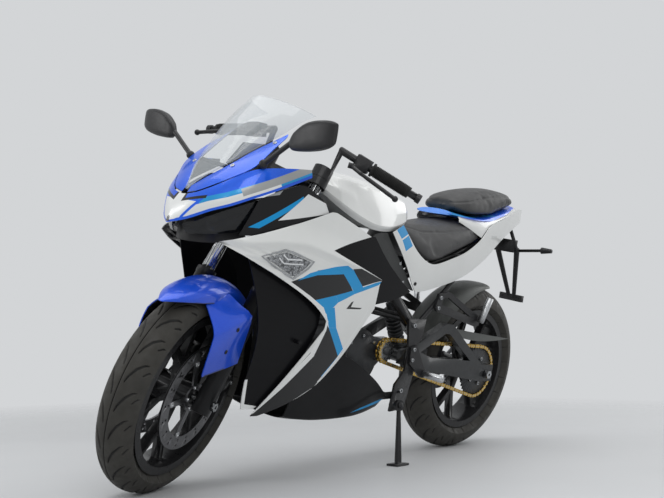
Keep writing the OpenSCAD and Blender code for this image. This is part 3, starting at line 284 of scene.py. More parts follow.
WHITE = (0.80, 0.81, 0.80)
CREAM_SHADE = (0.74, 0.75, 0.73)
BLUE = (0.003, 0.120, 0.82)
DEEP_BLUE = (0.002, 0.060, 0.62)
SKY_BLUE = (0.03, 0.30, 0.72)
CYAN = (0.006, 0.30, 0.66)
PALE_GREY = (0.36, 0.37, 0.37)
INK = (0.006, 0.006, 0.007)
LINING = (0.005, 0.005, 0.006)
BARE_BLACK = (0.010, 0.010, 0.011)


def painted(name, base=WHITE, tone=CREAM_SHADE, coat=1.0, spec=0.5):
    """Gloss paint under clear coat, with a faint shade and orange peel; its colour waits in `base`."""
    s = Surface(name, 0.34, coat=coat, spec=spec)
    s.base = s.mix(s.noise(0.09, 2), tone, base)
    s.link("Roughness", s.vary(0.28, 0.40, s.noise(0.03)))
    s.bump(s.noise(0.0035, 1), 0.00004, coat=True)
    return s


def finish_paint(s):
    """Colour outside, bare black on the faces that look inwards."""
    s.link("Base Color", s.mix(s.attribute("inside"), s.base, BARE_BLACK))
    return s.material


def flake(s, colour, bright):
    """Fine metallic flake in a colour."""
    speck = s.cells(0.0016).join("MULTIPLY_ADD", -1.6, 1.0, clamp=True)
    return s.mix(speck, colour, bright)


def blue_flake(name, colour=BLUE, bright=(0.02, 0.22, 0.95)):
    """Blue paint with flake, deeper in broad patches."""
    s = painted(name, coat=0.7, spec=0.3)
    s.set("Metallic", 0.25)
    s.base = s.mix(s.noise(0.16, 2), flake(s, colour, bright), flake(s, DEEP_BLUE, colour))
    return s


def moulded(name, low, high, rough=(0.45, 0.62), grain=0.0011, depth=0.00012, spec=0.25):
    """Moulded plastic with a leathery grain."""
    s = Surface(name, rough[0], spec=spec)
    s.link("Base Color", s.mix(s.noise(0.05, 4), low, high))
    s.link("Roughness", s.vary(*rough, s.noise(0.02, 4)))
    s.bump(s.cells(grain), depth)
    return s.material


def metal(name, low, high, rough=(0.2, 0.36), grain=0.0016, depth=0.00003, metallic=1.0, coat=0.0, spec=0.5):
    """Bare or painted metal with a fine grain and handling marks."""
    s = Surface(name, rough[0], metal=metallic, coat=coat, spec=spec)
    s.link("Base Color", s.mix(s.noise(0.03, 5), low, high))
    s.link("Roughness", s.vary(*rough, s.noise(0.012, 5)))
    s.bump(s.noise(grain, 3), depth)
    return s.material


def glassy(name, colour, alpha, rough=0.03, coat=1.0, spec=0.5):
    """Clear or smoked plastic glazing with faint wipe marks."""
    s = Surface(name, rough, coat=coat, spec=spec)
    s.set("Base Color", (*colour, 1))
    s.set("Alpha", alpha)
    s.link("Roughness", s.vary(rough, rough * 2.2, s.noise(0.05, 4, stretch=(1, 1, 0.3))))
    return s.material


def disc_steel(name, hub):
    """Steel turned about an axle: fine rings of scratches round the hub."""
    s = Surface(name, 0.28, metal=1.0)
    x, y, z = s.axes(s.place(hub))
    radius = (x * x + z * z).power(0.5)
    rings = s.noise(0.55, 4, s.point(radius, y * 0.2, 0.0))
    s.link("Base Color", s.mix(rings, (0.10, 0.10, 0.105), (0.30, 0.30, 0.31)))
    s.link("Roughness", s.vary(0.22, 0.42, rings))
    s.bump(rings, 0.00004)
    return s.material


def lamp_bowl():
    """Silvered reflector pressed into small facets, with painted shade that darkens each facet towards its
    rim.
    """
    s = Surface("lamp_bowl", 0.12, metal=1.0)
    facet = s.cells(0.006)
    # painted shade: each facet fades from silver to near black towards its rim
    facet_rim_shade = facet.join("MULTIPLY_ADD", 1.4, -0.1, clamp=True)
    s.link("Base Color", s.mix(facet_rim_shade, (0.44, 0.45, 0.47), (0.03, 0.031, 0.033)))
    s.link("Roughness", s.vary(0.06, 0.2, s.noise(0.01)))
    s.bump(facet, 0.002)
    return s.material


def tyre_rubber():
    """Dusty tread, with painted shade that darkens the grooves to near black as they deepen."""
    s = Surface("tyre_rubber", 0.6, spec=0.35)
    dust = s.mix(s.noise(0.05, 5), (0.022, 0.021, 0.019), (0.050, 0.047, 0.040))
    # painted shade: the grooves darken to near black with their depth
    s.link("Base Color", s.mix(s.attribute("groove"), dust, (0.006, 0.006, 0.006)))
    s.link("Roughness", s.vary(0.52, 0.78, s.noise(0.02, 4)))
    s.bump(s.cells(0.0014), 0.00008)
    return s.material


# Side panel paint: convex outlines in x and z on the upright machine
WHITE_EDGE = [(508, 628), (415, 585), (362, 557), (334, 520), (334, 498), (356, 424), (440, 330), (520, 250)]
PINSTRIPE = [(300, 340), (250, 408), (160, 560)]
BLACK_FIELD = [[(508, 628), (471, 640), (403, 666), (406, 579)],
               [(406, 668), (334, 681), (298, 666), (247, 614), (316, 599), (408, 579)],
               [(266, 680), (236, 684), (124, 652), (213, 630)]]
LOWER_BLACK = [[(352, 546), (318, 505), (286, 470), (340, 505)],
               [(342, 512), (318, 506), (244, 418), (314, 318), (360, 430)],
               [(362, 434), (314, 322), (440, 246), (446, 332)],
               [(446, 334), (438, 250), (540, 214), (534, 246)]]
CYAN_MARKS = [
    [(471, 636), (432, 659), (405, 667), (403, 655)], [(406, 667), (340, 682), (301, 663), (403, 655)],
    [(340, 682), (292, 689), (262, 677), (301, 663)], [(301, 664), (262, 677), (205, 627), (247, 616)],
    [(410, 581), (316, 601), (302, 580), (338, 545)], [(316, 601), (249, 617), (238, 607), (302, 580)],
    [(249, 617), (122, 651), (134, 637), (238, 607)], [(345, 556), (312, 566), (286, 505), (317, 505)],
    [(286, 505), (229, 437), (246, 418), (317, 505)], [(246, 418), (229, 437), (288, 352), (292, 358)]]
FLICKS = [[(262, 562), (246, 582), (236, 586), (243, 568)], [(262, 562), (243, 568), (192, 566), (200, 562)]]


def side_paint():
    s = painted("side_panel_paint", coat=0.45, spec=0.25)
    flat = s.side_view()
    for outlines, colour in ((BLACK_FIELD, INK), (LOWER_BLACK, INK), (CYAN_MARKS, CYAN), (FLICKS, INK)):
        s.over(s.inside_any(flat, outlines), colour)
    s.over(s.along(flat, WHITE_EDGE, 9), WHITE)
    s.over(s.along(flat, PINSTRIPE, 1.6), WHITE)
    return finish_paint(s)


# Nose paint: outlines across and up, seen from the front
NOSE_FIELD = [[(-8, 736), (32, 762), (70, 816), (20, 808), (-8, 808)],
              [(-8, 800), (20, 808), (14, 838), (-8, 842)]]
NOSE_STROKES = [[(16, 802), (25, 812), (84, 829), (84, 820)], [(16, 802), (13, 838), (18, 840), (25, 812)]]
NOSE_LINE = [(28, 744), (38, 764), (76, 818)]


def cowl_paint():
    """Blue cowl: stripes follow its lower edge, and the nose carries a plain white field."""
    s = blue_flake("cowl_paint")
    _, y, z = s.axes(s.place(PARKED))
    rise, run = s.attribute("rise"), s.attribute("run")
    white_top = run * -0.035 + 31
    front = (y.size(), z)
    s.over((white_top + 13 - rise).least(rise - 8).least(run - 104), CYAN)
    s.over((white_top - rise).least(rise - 7).least(run.flipped() + 330), WHITE)
    s.over((rise - 14).least(run.flipped() * -0.3 - 66).least(rise.flipped() + 34), PALE_GREY)
    s.over(s.along(front, NOSE_LINE, 3.5), BLUE)
    s.over(s.inside_any(front, NOSE_FIELD).least(rise - 5), WHITE)
    s.over(s.inside_any(front, NOSE_STROKES), INK)
    return finish_paint(s)


def tail_paint():
    s = painted("tail_paint")
    blocks = [[(-46, 826), (-14, 806), (-40, 780), (-72, 798)],
              [(-74, 794), (-44, 776), (-66, 742), (-96, 762)]]
    s.over(s.inside_any(s.side_view(), blocks), CYAN)
    return finish_paint(s)


def trim_paint():
    """Seat trim in two blues with a pale dart along the side."""
    s = blue_flake("seat_trim_paint")
    flat = s.side_view()
    s.over(s.inside(flat, [(-366, 880), (-470, 884), (-640, 905), (-366, 905)]), SKY_BLUE)
    s.over(s.inside(flat, [(-560, 886), (-800, 938), (-800, 960), (-700, 918)]), WHITE)
    return finish_paint(s)


def cheek_paint():
    """Black panel beside the headlight with a cyan stroke and two pale fields."""
    s = painted("cheek_paint", INK, INK, 0.25, 0.15)
    flat = s.side_view()
    s.over(s.inside(flat, [(634, 762), (606, 763), (480, 852), (486, 864)]), CYAN)
    s.over(s.inside(flat, [(556, 790), (372, 828), (380, 850), (470, 872)]), WHITE)
    s.over(s.inside(flat, [(640, 836), (560, 858), (545, 880), (600, 862)]), PALE_GREY)
    return finish_paint(s)


def inner_paint():
    """Gloss black lining with the white lip at its lower front."""
    s = painted("inner_panel_paint", LINING, INK, 0.12, 0.1)
    s.over(s.along(s.side_view(), [(500, 258), (548, 266), (556, 342)], 13), WHITE)
    return finish_paint(s)


def belly_paint():
    s = painted("belly_paint", INK, INK, 0.12, 0.1)
    s.over(s.inside(s.side_view(), [(60, 212), (-90, 236), (-90, 252), (20, 226)]), CYAN)
    return finish_paint(s)


FINISH = {
    "white": finish_paint(painted("white_paint")),
    "blue": finish_paint(blue_flake("blue_paint")),
    "fender": finish_paint(blue_flake("fender_paint", (0.003, 0.07, 0.66), (0.01, 0.16, 0.90))),
    "side": side_paint(),
    "cowl": cowl_paint(),
    "tail": tail_paint(),
    "trim": trim_paint(),
    "cheek": cheek_paint(),
    "inner": inner_paint(),
    "belly": belly_paint(),
    "grained": moulded("grained_black", (0.012, 0.012, 0.013), (0.022, 0.022, 0.023)),
    "satin_plastic": moulded("satin_plastic", (0.016, 0.016, 0.017), (0.03, 0.03, 0.032), (0.28, 0.4),
                             0.0016, 0.00004),
    "knee": moulded("knee_grey", (0.035, 0.037, 0.037), (0.055, 0.057, 0.057), (0.4, 0.52)),
    "hugger": moulded("hugger_grey", (0.085, 0.09, 0.085), (0.13, 0.135, 0.13), (0.34, 0.48)),
    "frame": metal("frame_coat", (0.010, 0.010, 0.011), (0.020, 0.020, 0.021), (0.34, 0.5),
                   metallic=0.0, coat=0.15, spec=0.25),
    "case": metal("cast_case", (0.028, 0.029, 0.031), (0.05, 0.052, 0.055), (0.4, 0.56), 0.0022, 0.0001, 0.4),
    "arm": metal("arm_coat", (0.018, 0.019, 0.020), (0.036, 0.038, 0.040), (0.34, 0.48),
                 metallic=0.2, coat=0.15, spec=0.3),
    "wheel": metal("wheel_coat", (0.010, 0.010, 0.011), (0.022, 0.022, 0.023), (0.26, 0.4),
                   metallic=0.1, coat=0.15, spec=0.25),
    "steel": metal("machined_steel", (0.30, 0.31, 0.32), (0.48, 0.49, 0.50)),
    "alloy": metal("cast_alloy", (0.42, 0.43, 0.44), (0.60, 0.61, 0.62), (0.28, 0.44), 0.0012, 0.00006),
    "chrome": metal("hard_chrome", (0.55, 0.56, 0.57), (0.70, 0.71, 0.72), (0.06, 0.14), 0.004, 0.00001),
    "gold": metal("gold_links", (0.42, 0.27, 0.06), (0.68, 0.47, 0.14), (0.24, 0.4)),
    "rubber": moulded("grip_rubber", (0.012, 0.012, 0.012), (0.024, 0.024, 0.023), (0.62, 0.8),
                      0.0009, 0.0001),
    "tyre": tyre_rubber(),
    "seat": moulded("seat_vinyl", (0.050, 0.050, 0.051), (0.076, 0.076, 0.076), (0.46, 0.6), 0.0017, 0.00022),
    "thread": moulded("seat_thread", (0.10, 0.10, 0.105), (0.16, 0.16, 0.165), (0.6, 0.8), 0.0006, 0.00005),
    "display": glassy("dash_glass", (0.010, 0.014, 0.018), 1.0, 0.05),
    "screen": glassy("screen_acrylic", (0.72, 0.77, 0.80), 0.26),
    "smoke": glassy("smoked_lens", (0.006, 0.007, 0.009), 0.80, coat=0.4, spec=0.3),
    "clear": glassy("clear_lens", (0.80, 0.83, 0.85), 0.10, coat=0.5),
    "red_lens": glassy("red_lens", (0.42, 0.010, 0.012), 0.88),
    "mirror": metal("mirror_silver", (0.82, 0.84, 0.86), (0.86, 0.88, 0.90), (0.01, 0.03), 0.01, 0.000001),
    "reflector": metal("reflector_silver", (0.66, 0.68, 0.70), (0.80, 0.82, 0.84), (0.08, 0.2)),
    "bowl": lamp_bowl(),
    "bars": moulded("lamp_bars", (0.72, 0.74, 0.76), (0.82, 0.83, 0.84), (0.2, 0.3), 0.002, 0.00002, 0.5),
    "front_disc": disc_steel("front_disc_steel", FRONT_HUB),
    "rear_disc": disc_steel("rear_disc_steel", REAR_HUB),
}


def add(name, mesh, body, finish):
    """A new piece on a body, with its place in its mesh."""
    piece = bpy.data.objects.new(name, mesh)
    scene.collection.objects.link(piece)
    mesh.materials.clear()
    mesh.materials.append(FINISH[finish])
    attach(piece, body)
    return piece


def shade(mesh, fold=FOLD):
    """Smooth shading that breaks at folds sharper than `fold` degrees."""
    mesh.polygons.foreach_set("use_smooth", [True] * len(mesh.polygons))
    mesh.set_sharp_from_angle(angle=math.radians(fold))


def mesh_from(name, shape):
    """A plain mesh from a bmesh, which is then freed."""
    mesh = bpy.data.meshes.new(name)
    shape.to_mesh(mesh)
    shape.free()
    return mesh


def new_mesh(name, points, faces, fold=FOLD):
    mesh = bpy.data.meshes.new(name)
    mesh.from_pydata(points, [], faces)
    shade(mesh, fold)
    return mesh


def copy_of(node, fold=FOLD, quads=False):
    """A joined-up copy of a CAD node's mesh, as a bmesh, with its triangles paired where `quads` is set."""
    shape = bmesh.new()
    shape.from_mesh(frame["nodes"][node].data)
    bmesh.ops.remove_doubles(shape, verts=shape.verts, dist=WELD)
    if quads:
        bmesh.ops.join_triangles(shape, faces=shape.faces, angle_face_threshold=math.radians(fold),
                                 angle_shape_threshold=math.radians(70))
    return shape


def apply_modifiers(piece):
    """Turns the evaluated shape into the piece's own plain mesh."""
    bpy.context.view_layer.update()
    seen = piece.evaluated_get(bpy.context.evaluated_depsgraph_get())
    mesh = bpy.data.meshes.new_from_object(seen)
    old = piece.data
    piece.modifiers.clear()
    piece.data = mesh
    bpy.data.meshes.remove(old)


def keep_folds(shape, fold):
    """Creases a bmesh's sharp and open edges, and pins the corners on them."""
    crease = shape.edges.layers.float.new("crease_edge")
    pin = shape.verts.layers.float.new("crease_vert")
    for edge in shape.edges:
        if len(edge.link_faces) != 2 or edge.calc_face_angle(0) > math.radians(fold):
            edge[crease] = 1.0
    for vert in shape.verts:
        folds = [e for e in vert.link_edges if e[crease] > 0]
        if len(folds) == 2:
            a, b = (e.other_vert(vert).co - vert.co for e in folds)
            if a.length > 0 and b.length > 0 and math.pi - a.angle(b) > math.radians(CORNER):
                vert[pin] = 1.0


def skin(node, finish, fold=FOLD, levels=0, relief=None):
    """The piece that stands for a CAD node: its own mesh, smoothed between folds and corners."""
    shape = copy_of(node, fold, levels > 0)
    if levels:
        keep_folds(shape, fold)
    body = frame["nodes"][node]["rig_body"]
    piece = add(node + "_skin", mesh_from(node + "_skin", shape), body, finish)
    if levels:
        smooth = piece.modifiers.new("smooth", "SUBSURF")
        smooth.levels = smooth.render_levels = levels
        apply_modifiers(piece)
    if relief:
        back = BODY_FRAME[body].inverted()
        for vert in piece.data.vertices:
            vert.co = BODY_FRAME[body] @ relief(back @ vert.co)
    shade(piece.data, fold)
    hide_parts(node)
    return piece


def mark(piece, name, value):
    """Stores a number at each vertex of a chassis piece, worked out from its upright place."""
    back = PARKED.inverted()
    layer = piece.data.attributes.new(name, "FLOAT", "POINT")
    layer.data.foreach_set("value", [value(back @ v.co) for v in piece.data.vertices])


def vertex_values(mesh, name):
    values = np.empty(len(mesh.vertices) * 3, np.float32)
    mesh.vertices.foreach_get(name, values)
    return values.reshape(-1, 3)


def set_places(mesh, places):
    mesh.vertices.foreach_set("co", places.reshape(-1))
    mesh.update()


def upright_places(mesh, body):
    """Every vertex's place in upright millimetres, and the turn that took it there."""
    back = np.array(BODY_FRAME[body].inverted())
    return vertex_values(mesh, "co") @ back[:3, :3].T + back[:3, 3], back[:3, :3].T


# The photograph's camera: place, heading, rise and roll
CAMERA_PLACE = Vector((2.14478, 1.77911, 0.40667))
CAMERA_TURNS = (222.859, 6.046, -0.343)
CAMERA_LENS, CAMERA_FILM = 46.78, 36


def set_camera():
    yaw, rise, roll = (math.radians(a) for a in CAMERA_TURNS)
    look = Vector((math.cos(rise) * math.cos(yaw), math.cos(rise) * math.sin(yaw), math.sin(rise)))
    right = look.cross(Vector((0, 0, 1))).normalized()
    up = right.cross(look)
    right, up = math.cos(roll) * right + math.sin(roll) * up, math.cos(roll) * up - math.sin(roll) * right
    camera = bpy.data.objects.new("camera", bpy.data.cameras.new("camera"))
    camera.data.sensor_width = CAMERA_FILM
    camera.data.lens = CAMERA_LENS
    camera.matrix_world = shift(CAMERA_PLACE) @ Matrix((right, up, -look)).transposed().to_4x4()
    scene.collection.objects.link(camera)
    scene.camera = camera


def softbox(name, place, target, size, power):
    lamp = bpy.data.objects.new(name, bpy.data.lights.new(name, "AREA"))
    lamp.data.shape = "RECTANGLE"
    lamp.data.size, lamp.data.size_y = size
    lamp.data.energy = power
    lamp.location = place
    lamp.rotation_euler = (Vector(target) - Vector(place)).to_track_quat("-Z", "Y").to_euler()
    scene.collection.objects.link(lamp)


BACKDROP, FILL = 0.70, 0.40  # strength of the surround as seen, and as light
FLOOR_HALF, FLOOR_REACH, FADE = 4, 3.6, 2.0


def set_studio():
    """Pale floor that fades into the surround, soft lamps and a plain pale surround."""
    softbox("overhead", (0.2, 0.3, 3.2), (0, 0, 0.5), (3.6, 2.6), 50)
    softbox("front_left", (2.6, 3.2, 2.4), (0.2, 0, 0.5), (2.2, 2.2), 46)
    softbox("front_right", (3.2, -2.2, 2.0), (0.2, 0, 0.6), (1.8, 1.8), 30)
    softbox("rear", (-3.4, 1.0, 2.2), (-0.4, 0, 0.6), (2.0, 2.0), 28)
    world = bpy.data.worlds.new("studio")
    scene.world = world
    world.use_nodes = True
    tree = world.node_tree
    light = tree.nodes["Background"]
    light.inputs["Color"].default_value = (0.93, 0.95, 0.97, 1)
    seen = tree.nodes.new("ShaderNodeLightPath")
    shown = Field(tree, seen.outputs["Is Camera Ray"])
    for ray in ("Is Glossy Ray", "Is Transmission Ray"):
        shown = shown.most(Field(tree, seen.outputs[ray]))
    tree.links.new(shown.join("MULTIPLY_ADD", BACKDROP - FILL, FILL).socket, light.inputs["Strength"])
    mesh = bpy.data.meshes.new("floor")
    corners = [(FLOOR_HALF * x, FLOOR_HALF * y, 0) for x, y in ((-1, -1), (1, -1), (1, 1), (-1, 1))]
    mesh.from_pydata(corners, [], [(0, 1, 2, 3)])
    floor = bpy.data.objects.new("floor", mesh)
    scene.collection.objects.link(floor)
    s = Surface("pale_floor", 0.6)
    s.link("Base Color", s.mix(s.noise(0.6, 3), (0.60, 0.61, 0.62), (0.66, 0.67, 0.68)))
    x, y, _ = s.axes(s.coords)
    reach = (x * x + y * y).power(0.5)
    s.link("Alpha", reach.join("MULTIPLY_ADD", -1 / FADE, FLOOR_REACH / FADE, clamp=True))
    mesh.materials.append(s.material)
    scene.view_settings.view_transform = "Standard"


set_camera()
set_studio()

# Lower edge of the nose cowl, from the tip back along the left side
COWL_EDGE = [(777, 0, 742), (752, 52, 759), (716, 100, 789), (679, 132, 809), (641, 161, 833),
             (564, 187, 871), (468, 201, 917)]


def edge_measure(points):
    """A function that gives a point's distance from a mirrored edge line, and how far along it lies."""
    line = [Vector(p) for p in points]
    starts = [0.0]
    for a, b in zip(line, line[1:]):
        starts.append(starts[-1] + (b - a).length)

    def nearest(p):
        p = Vector((p.x, abs(p.y), p.z))
        best = (1e9, 0.0)
        for a, b, start in zip(line, line[1:], starts):
            t = max(0.0, min(1.0, (p - a).dot(b - a) / (b - a).length_squared))
            best = min(best, ((p - a.lerp(b, t)).length, start + t * (b - a).length))
        return best
    return nearest


# Crease along the side panel, in x and z
SIDE_CREASE = [(684, 726), (635, 722), (558, 734), (465, 737), (415, 727), (341, 710), (129, 657)]


def shoulder(line, lift, above, below):
    """Relief that lifts a panel towards a line in x and z: gently from above, steeply from below."""
    def moved(p):
        flat, best, over = Vector((p.x, p.z)), 1e9, True
        for a, b in zip(line, line[1:]):
            a, b = Vector(a), Vector(b)
            t = max(0.0, min(1.0, (flat - a).dot(b - a) / (b - a).length_squared))
            near = a.lerp(b, t)
            if (flat - near).length < best:
                best, over = (flat - near).length, flat.y > near.y
        rise = lift * max(0.0, 1 - best / (above if over else below)) ** 1.4
        return Vector((p.x, p.y + math.copysign(rise, p.y), p.z))
    return moved


def mark_inside(piece, body, outward):
    """Marks the vertices whose faces look inwards, from upright places and the way out at each of them."""
    places, turn = upright_places(piece.data, body)
    ways = vertex_values(piece.data, "normal") @ turn
    inward = (ways * outward(places)).sum(1) < 0
    layer = piece.data.attributes.new("inside", "FLOAT", "POINT")
    layer.data.foreach_set("value", inward.astype(np.float32))


def sideways(places):
    return places * (0, 1, 0)


def from_axle(places):
    return places - np.array(FRONT_AXLE)


def from_spine(places):
    """Away from a line along the machine, at the height of the headlights."""
    return (places - (0, 0, 760)) * (0, 1, 1)


RELIEFS = {"side_fairings": shoulder(SIDE_CREASE, 8.0, 60, 20)}
FOLDS = {"tank_cover": 10, "mirrors": 14, "front_fender": 20}
# Smoothed panels, with their finish and how often each is divided
PANELS = [("screen_surround", "blue", 2), ("tank_cover", "white", 2), ("knee_panels", "knee", 1),
          ("tail_fairing", "tail", 2), ("seat_trim", "trim", 2), ("tail_lamp", "red_lens", 2),
          ("undertail", "grained", 2), ("rear_hugger", "hugger", 2), ("front_fender", "fender", 2),
          ("inner_fairings", "inner", 1), ("belly_pan", "belly", 2), ("mirrors", "satin_plastic", 2),
          ("windscreen", "screen", 2), ("headlights", "smoke", 2), ("front_signals", "clear", 1),
          ("side_fairings", "side", 2), ("nose_cowl", "cowl", 2), ("cheek_panels", "cheek", 2)]
SOLIDS = [("frame", "frame"), ("battery_box", "case"), ("drive_motor", "case"), ("front_sprocket", "steel"),
          ("swingarm", "arm"), ("rear_shock", "case"), ("rear_axle", "steel"), ("drive_chain", "gold"),
          ("rear_caliper", "frame"), ("lamp_housing", "grained"), ("instrument_panel", "satin_plastic"),
          ("plate_holder", "grained"), ("rear_signals", "satin_plastic"), ("footrest_brackets", "frame"),
          ("footpegs", "alloy"), ("side_stand", "frame"), ("steering_yokes", "frame"),
          ("fork_tubes", "chrome"), ("fork_sliders", "frame"), ("front_axle", "steel"),
          ("front_calipers", "frame"), ("handlebars", "frame"), ("grips", "rubber"),
          ("control_pods", "grained"), ("levers", "frame"), ("front_rim", "wheel"),
          ("front_discs", "front_disc"), ("rear_rim", "wheel"), ("rear_disc", "rear_disc"),
          ("rear_sprocket", "case")]
OPEN_PANELS = [("side_fairings", "chassis", sideways), ("tail_fairing", "chassis", sideways),
               ("cheek_panels", "chassis", sideways), ("nose_cowl", "chassis", from_spine),
               ("screen_surround", "chassis", from_spine), ("front_fender", "steering", from_axle)]

pieces = {}
for node, finish, levels in PANELS:
    pieces[node] = skin(node, finish, FOLDS.get(node, FOLD), levels, RELIEFS.get(node))
for node, finish in SOLIDS:
    pieces[node] = skin(node, finish)
for node, body, outward in OPEN_PANELS:
    mark_inside(pieces[node], body, outward)
cowl_edge = edge_measure(COWL_EDGE)
mark(pieces["nose_cowl"], "rise", lambda p: cowl_edge(p)[0])
mark(pieces["nose_cowl"], "run", lambda p: cowl_edge(p)[1])


def turned(name, profile, steps=24, loop=False):
    """A body turned about Z through (radius, height) points in millimetres."""
    points, rings, faces = [], [], []
    for radius, height in profile:
        count = steps if radius > 1e-6 else 1
        rings.append([len(points) + k % count for k in range(steps)])
        points += [(radius * math.cos(math.tau * k / steps), radius * math.sin(math.tau * k / steps), height)
                   for k in range(count)]
    for a, b in zip(rings, rings[1:] + rings[:1] if loop else rings[1:]):
        for k in range(steps):
            n = (k + 1) % steps
            faces.append(list(dict.fromkeys([a[k], a[n], b[n], b[k]])))
    return new_mesh(name, points, faces)


def screw_head(name, radius, height, corners=24):
    """Screw head with a recess for its key, sunk a little into what it holds."""
    return turned(name, [(0, -1.5), (radius, -1.5), (radius, height * 0.7), (radius * 0.86, height),
                         (radius * 0.52, height), (radius * 0.46, height * 0.4), (0, height * 0.4)], corners)


def build_repeater():
    """Node group: a unit at every point, turned and sized by the point's own values, made real."""
    group = bpy.data.node_groups.new("repeat", "GeometryNodeTree")
    sockets = (("Places", "INPUT", "NodeSocketGeometry"), ("Unit", "INPUT", "NodeSocketObject"),
               ("Finish", "INPUT", "NodeSocketMaterial"), ("Shape", "OUTPUT", "NodeSocketGeometry"))
    for name, side, kind in sockets:
        group.interface.new_socket(name, in_out=side, socket_type=kind)
    into, out, unit, put, real, paint = (group.nodes.new(kind) for kind in (
        "NodeGroupInput", "NodeGroupOutput", "GeometryNodeObjectInfo", "GeometryNodeInstanceOnPoints",
        "GeometryNodeRealizeInstances", "GeometryNodeSetMaterial"))
    link = group.links.new
    for label, socket in (("turn", "Rotation"), ("size", "Scale")):
        node = group.nodes.new("GeometryNodeInputNamedAttribute")
        node.data_type = "FLOAT_VECTOR"
        node.inputs["Name"].default_value = label
        link(next(o for o in node.outputs if o.enabled and o.name == "Attribute"), put.inputs[socket])
    link(into.outputs["Places"], put.inputs["Points"])
    link(into.outputs["Unit"], unit.inputs["Object"])
    link(unit.outputs["Geometry"], put.inputs["Instance"])
    link(put.outputs["Instances"], real.inputs["Geometry"])
    link(real.outputs["Geometry"], paint.inputs["Geometry"])
    link(into.outputs["Finish"], paint.inputs["Material"])
    link(paint.outputs["Geometry"], out.inputs["Shape"])
    return group


REPEAT = build_repeater()


def repeat(name, unit, places, body, finish):
    """One piece of many copies of a small mesh, at places given as matrices to the frame."""
    spots = [place.decompose() for place in places]
    mesh = bpy.data.meshes.new(name)
    mesh.from_pydata([where for where, _, _ in spots], [], [])
    for label, values in (("turn", [turn.to_euler() for _, turn, _ in spots]),
                          ("size", [size for _, _, size in spots])):
        layer = mesh.attributes.new(label, "FLOAT_VECTOR", "POINT")
        layer.data.foreach_set("vector", [c for v in values for c in v])
    source = bpy.data.objects.new(name + "_unit", unit)
    piece = bpy.data.objects.new(name, mesh)
    scene.collection.objects.link(source)
    scene.collection.objects.link(piece)
    maker = piece.modifiers.new("repeat", "NODES")
    maker.node_group = REPEAT
    given = {"Unit": source, "Finish": FINISH[finish]}
    for item in REPEAT.interface.items_tree:
        if item.name in given:
            maker[item.identifier] = given[item.name]
    apply_modifiers(piece)
    bpy.data.objects.remove(source)
    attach(piece, body)
    return piece


def aimed(way):
    """Turns +Z to a direction."""
    return Vector(way).to_track_quat("Z", "Y").to_matrix().to_4x4()


def spot(body, at, way):
    """A place on a body in upright millimetres, with the unit's +Z along `way`."""
    return BODY_FRAME[body] @ shift(Vector(at)) @ aimed(way)


def tree_of(piece):
    mesh = piece.data
    return BVHTree.FromPolygons([v.co for v in mesh.vertices], [list(f.vertices) for f in mesh.polygons])


def cast(tree, body, start, way):
    """Place where a ray in upright millimetres meets a piece, with +Z along its face's normal, or None."""
    stance = BODY_FRAME[body]
    heading = stance.to_3x3() @ Vector(way)
    where, normal, _, _ = tree.ray_cast(stance @ Vector(start), heading.normalized())
    if where is None:
        return None
    if normal.dot(heading) > 0:
        normal = -normal
    return shift(where) @ aimed(normal) @ Matrix.Scale(MM, 4)


def cast_inwards(tree, x, z, side, body="chassis"):
    """Place where a level ray from one side of the machine meets a piece, or None."""
    return cast(tree, body, (x, FAR * side, z), (0, -side, 0))


def screws(name, head, places, body, finish):
    """Screw heads at the places where rays met a piece. A head is its radius, height and corners."""
    return repeat(name, screw_head(name + "_head", *head), [p for p in places if p], body, finish)


def side_screws(name, node, side, spots, head, finish, body="chassis"):
    """Screw heads on a node's piece, seated from one side of the machine at places in x and z."""
    tree = tree_of(pieces[node])
    return screws(name, head, [cast_inwards(tree, x, z, side, body) for x, z in spots], body, finish)


# Tyres: the cross-section runs from the crown down the wall to the rim's bead seat
BEAD = 214.0
ARC_STEPS, ARC_REACH = 90, 150
WALL_RIB, WALL_RIBS = 0.7, ((100, 104), (112, 114))
TREAD_REPEATS, TREAD_DEPTH, GROOVE_EDGE = 24, 3.4, 1.6
# Grooves as lines of (along, across, half-width), drawn for a tyre of this half-width
DRAWN_HALF = 56
MAIN_GROOVE = [(0, 11, 1.0), (16, 15, 2.2), (40, 26, 2.6), (56, 38, 2.0), (60, 44, 1.0)]
SHORT_GROOVE = [(30, 43, 1.0), (44, 50, 1.5)]
CROWN_GROOVE = 1.1


def groove_depth(along, across, pitch, cuts):
    """How deep a tread groove is cut at each point, from 0 to 1."""
    depth = np.zeros_like(along)
    for cut in cuts:
        for (s0, y0, w0), (s1, y1, w1) in zip(cut, cut[1:]):
            run = np.array((s1 - s0, y1 - y0))
            for turn in (-pitch, 0.0, pitch):
                ds, dy = along + turn - s0, across - y0
                t = np.clip((ds * run[0] + dy * run[1]) / run.dot(run), 0, 1)
                far = np.hypot(ds - t * run[0], dy - t * run[1])
                depth = np.maximum(depth, np.clip((w0 + t * (w1 - w0) - far) / GROOVE_EDGE + 0.5, 0, 1))
    return depth


def tyre_profile(centre, half, rim_half):
    """Cross-section of a tyre as (radius, across) rows: bead, ribbed wall, tread, and back again."""
    side = [(BEAD + 1, rim_half - 7.0), (BEAD + 16, rim_half - 6.0)]
    for k in range(ARC_STEPS, -1, -1):
        a = math.radians(ARC_REACH * k / ARC_STEPS)
        r, y = centre + half * math.cos(a), half * math.sin(a)
        if r > BEAD + 18 and y <= rim_half - 6 + (r - BEAD - 16) / 18 * (half + 7 - rim_half):
            ribbed = any(low < math.degrees(a) < high for low, high in WALL_RIBS)
            side.append((r, y + WALL_RIB * ribbed))
    return np.array(side + [(r, -y) for r, y in reversed(side[:-1])])


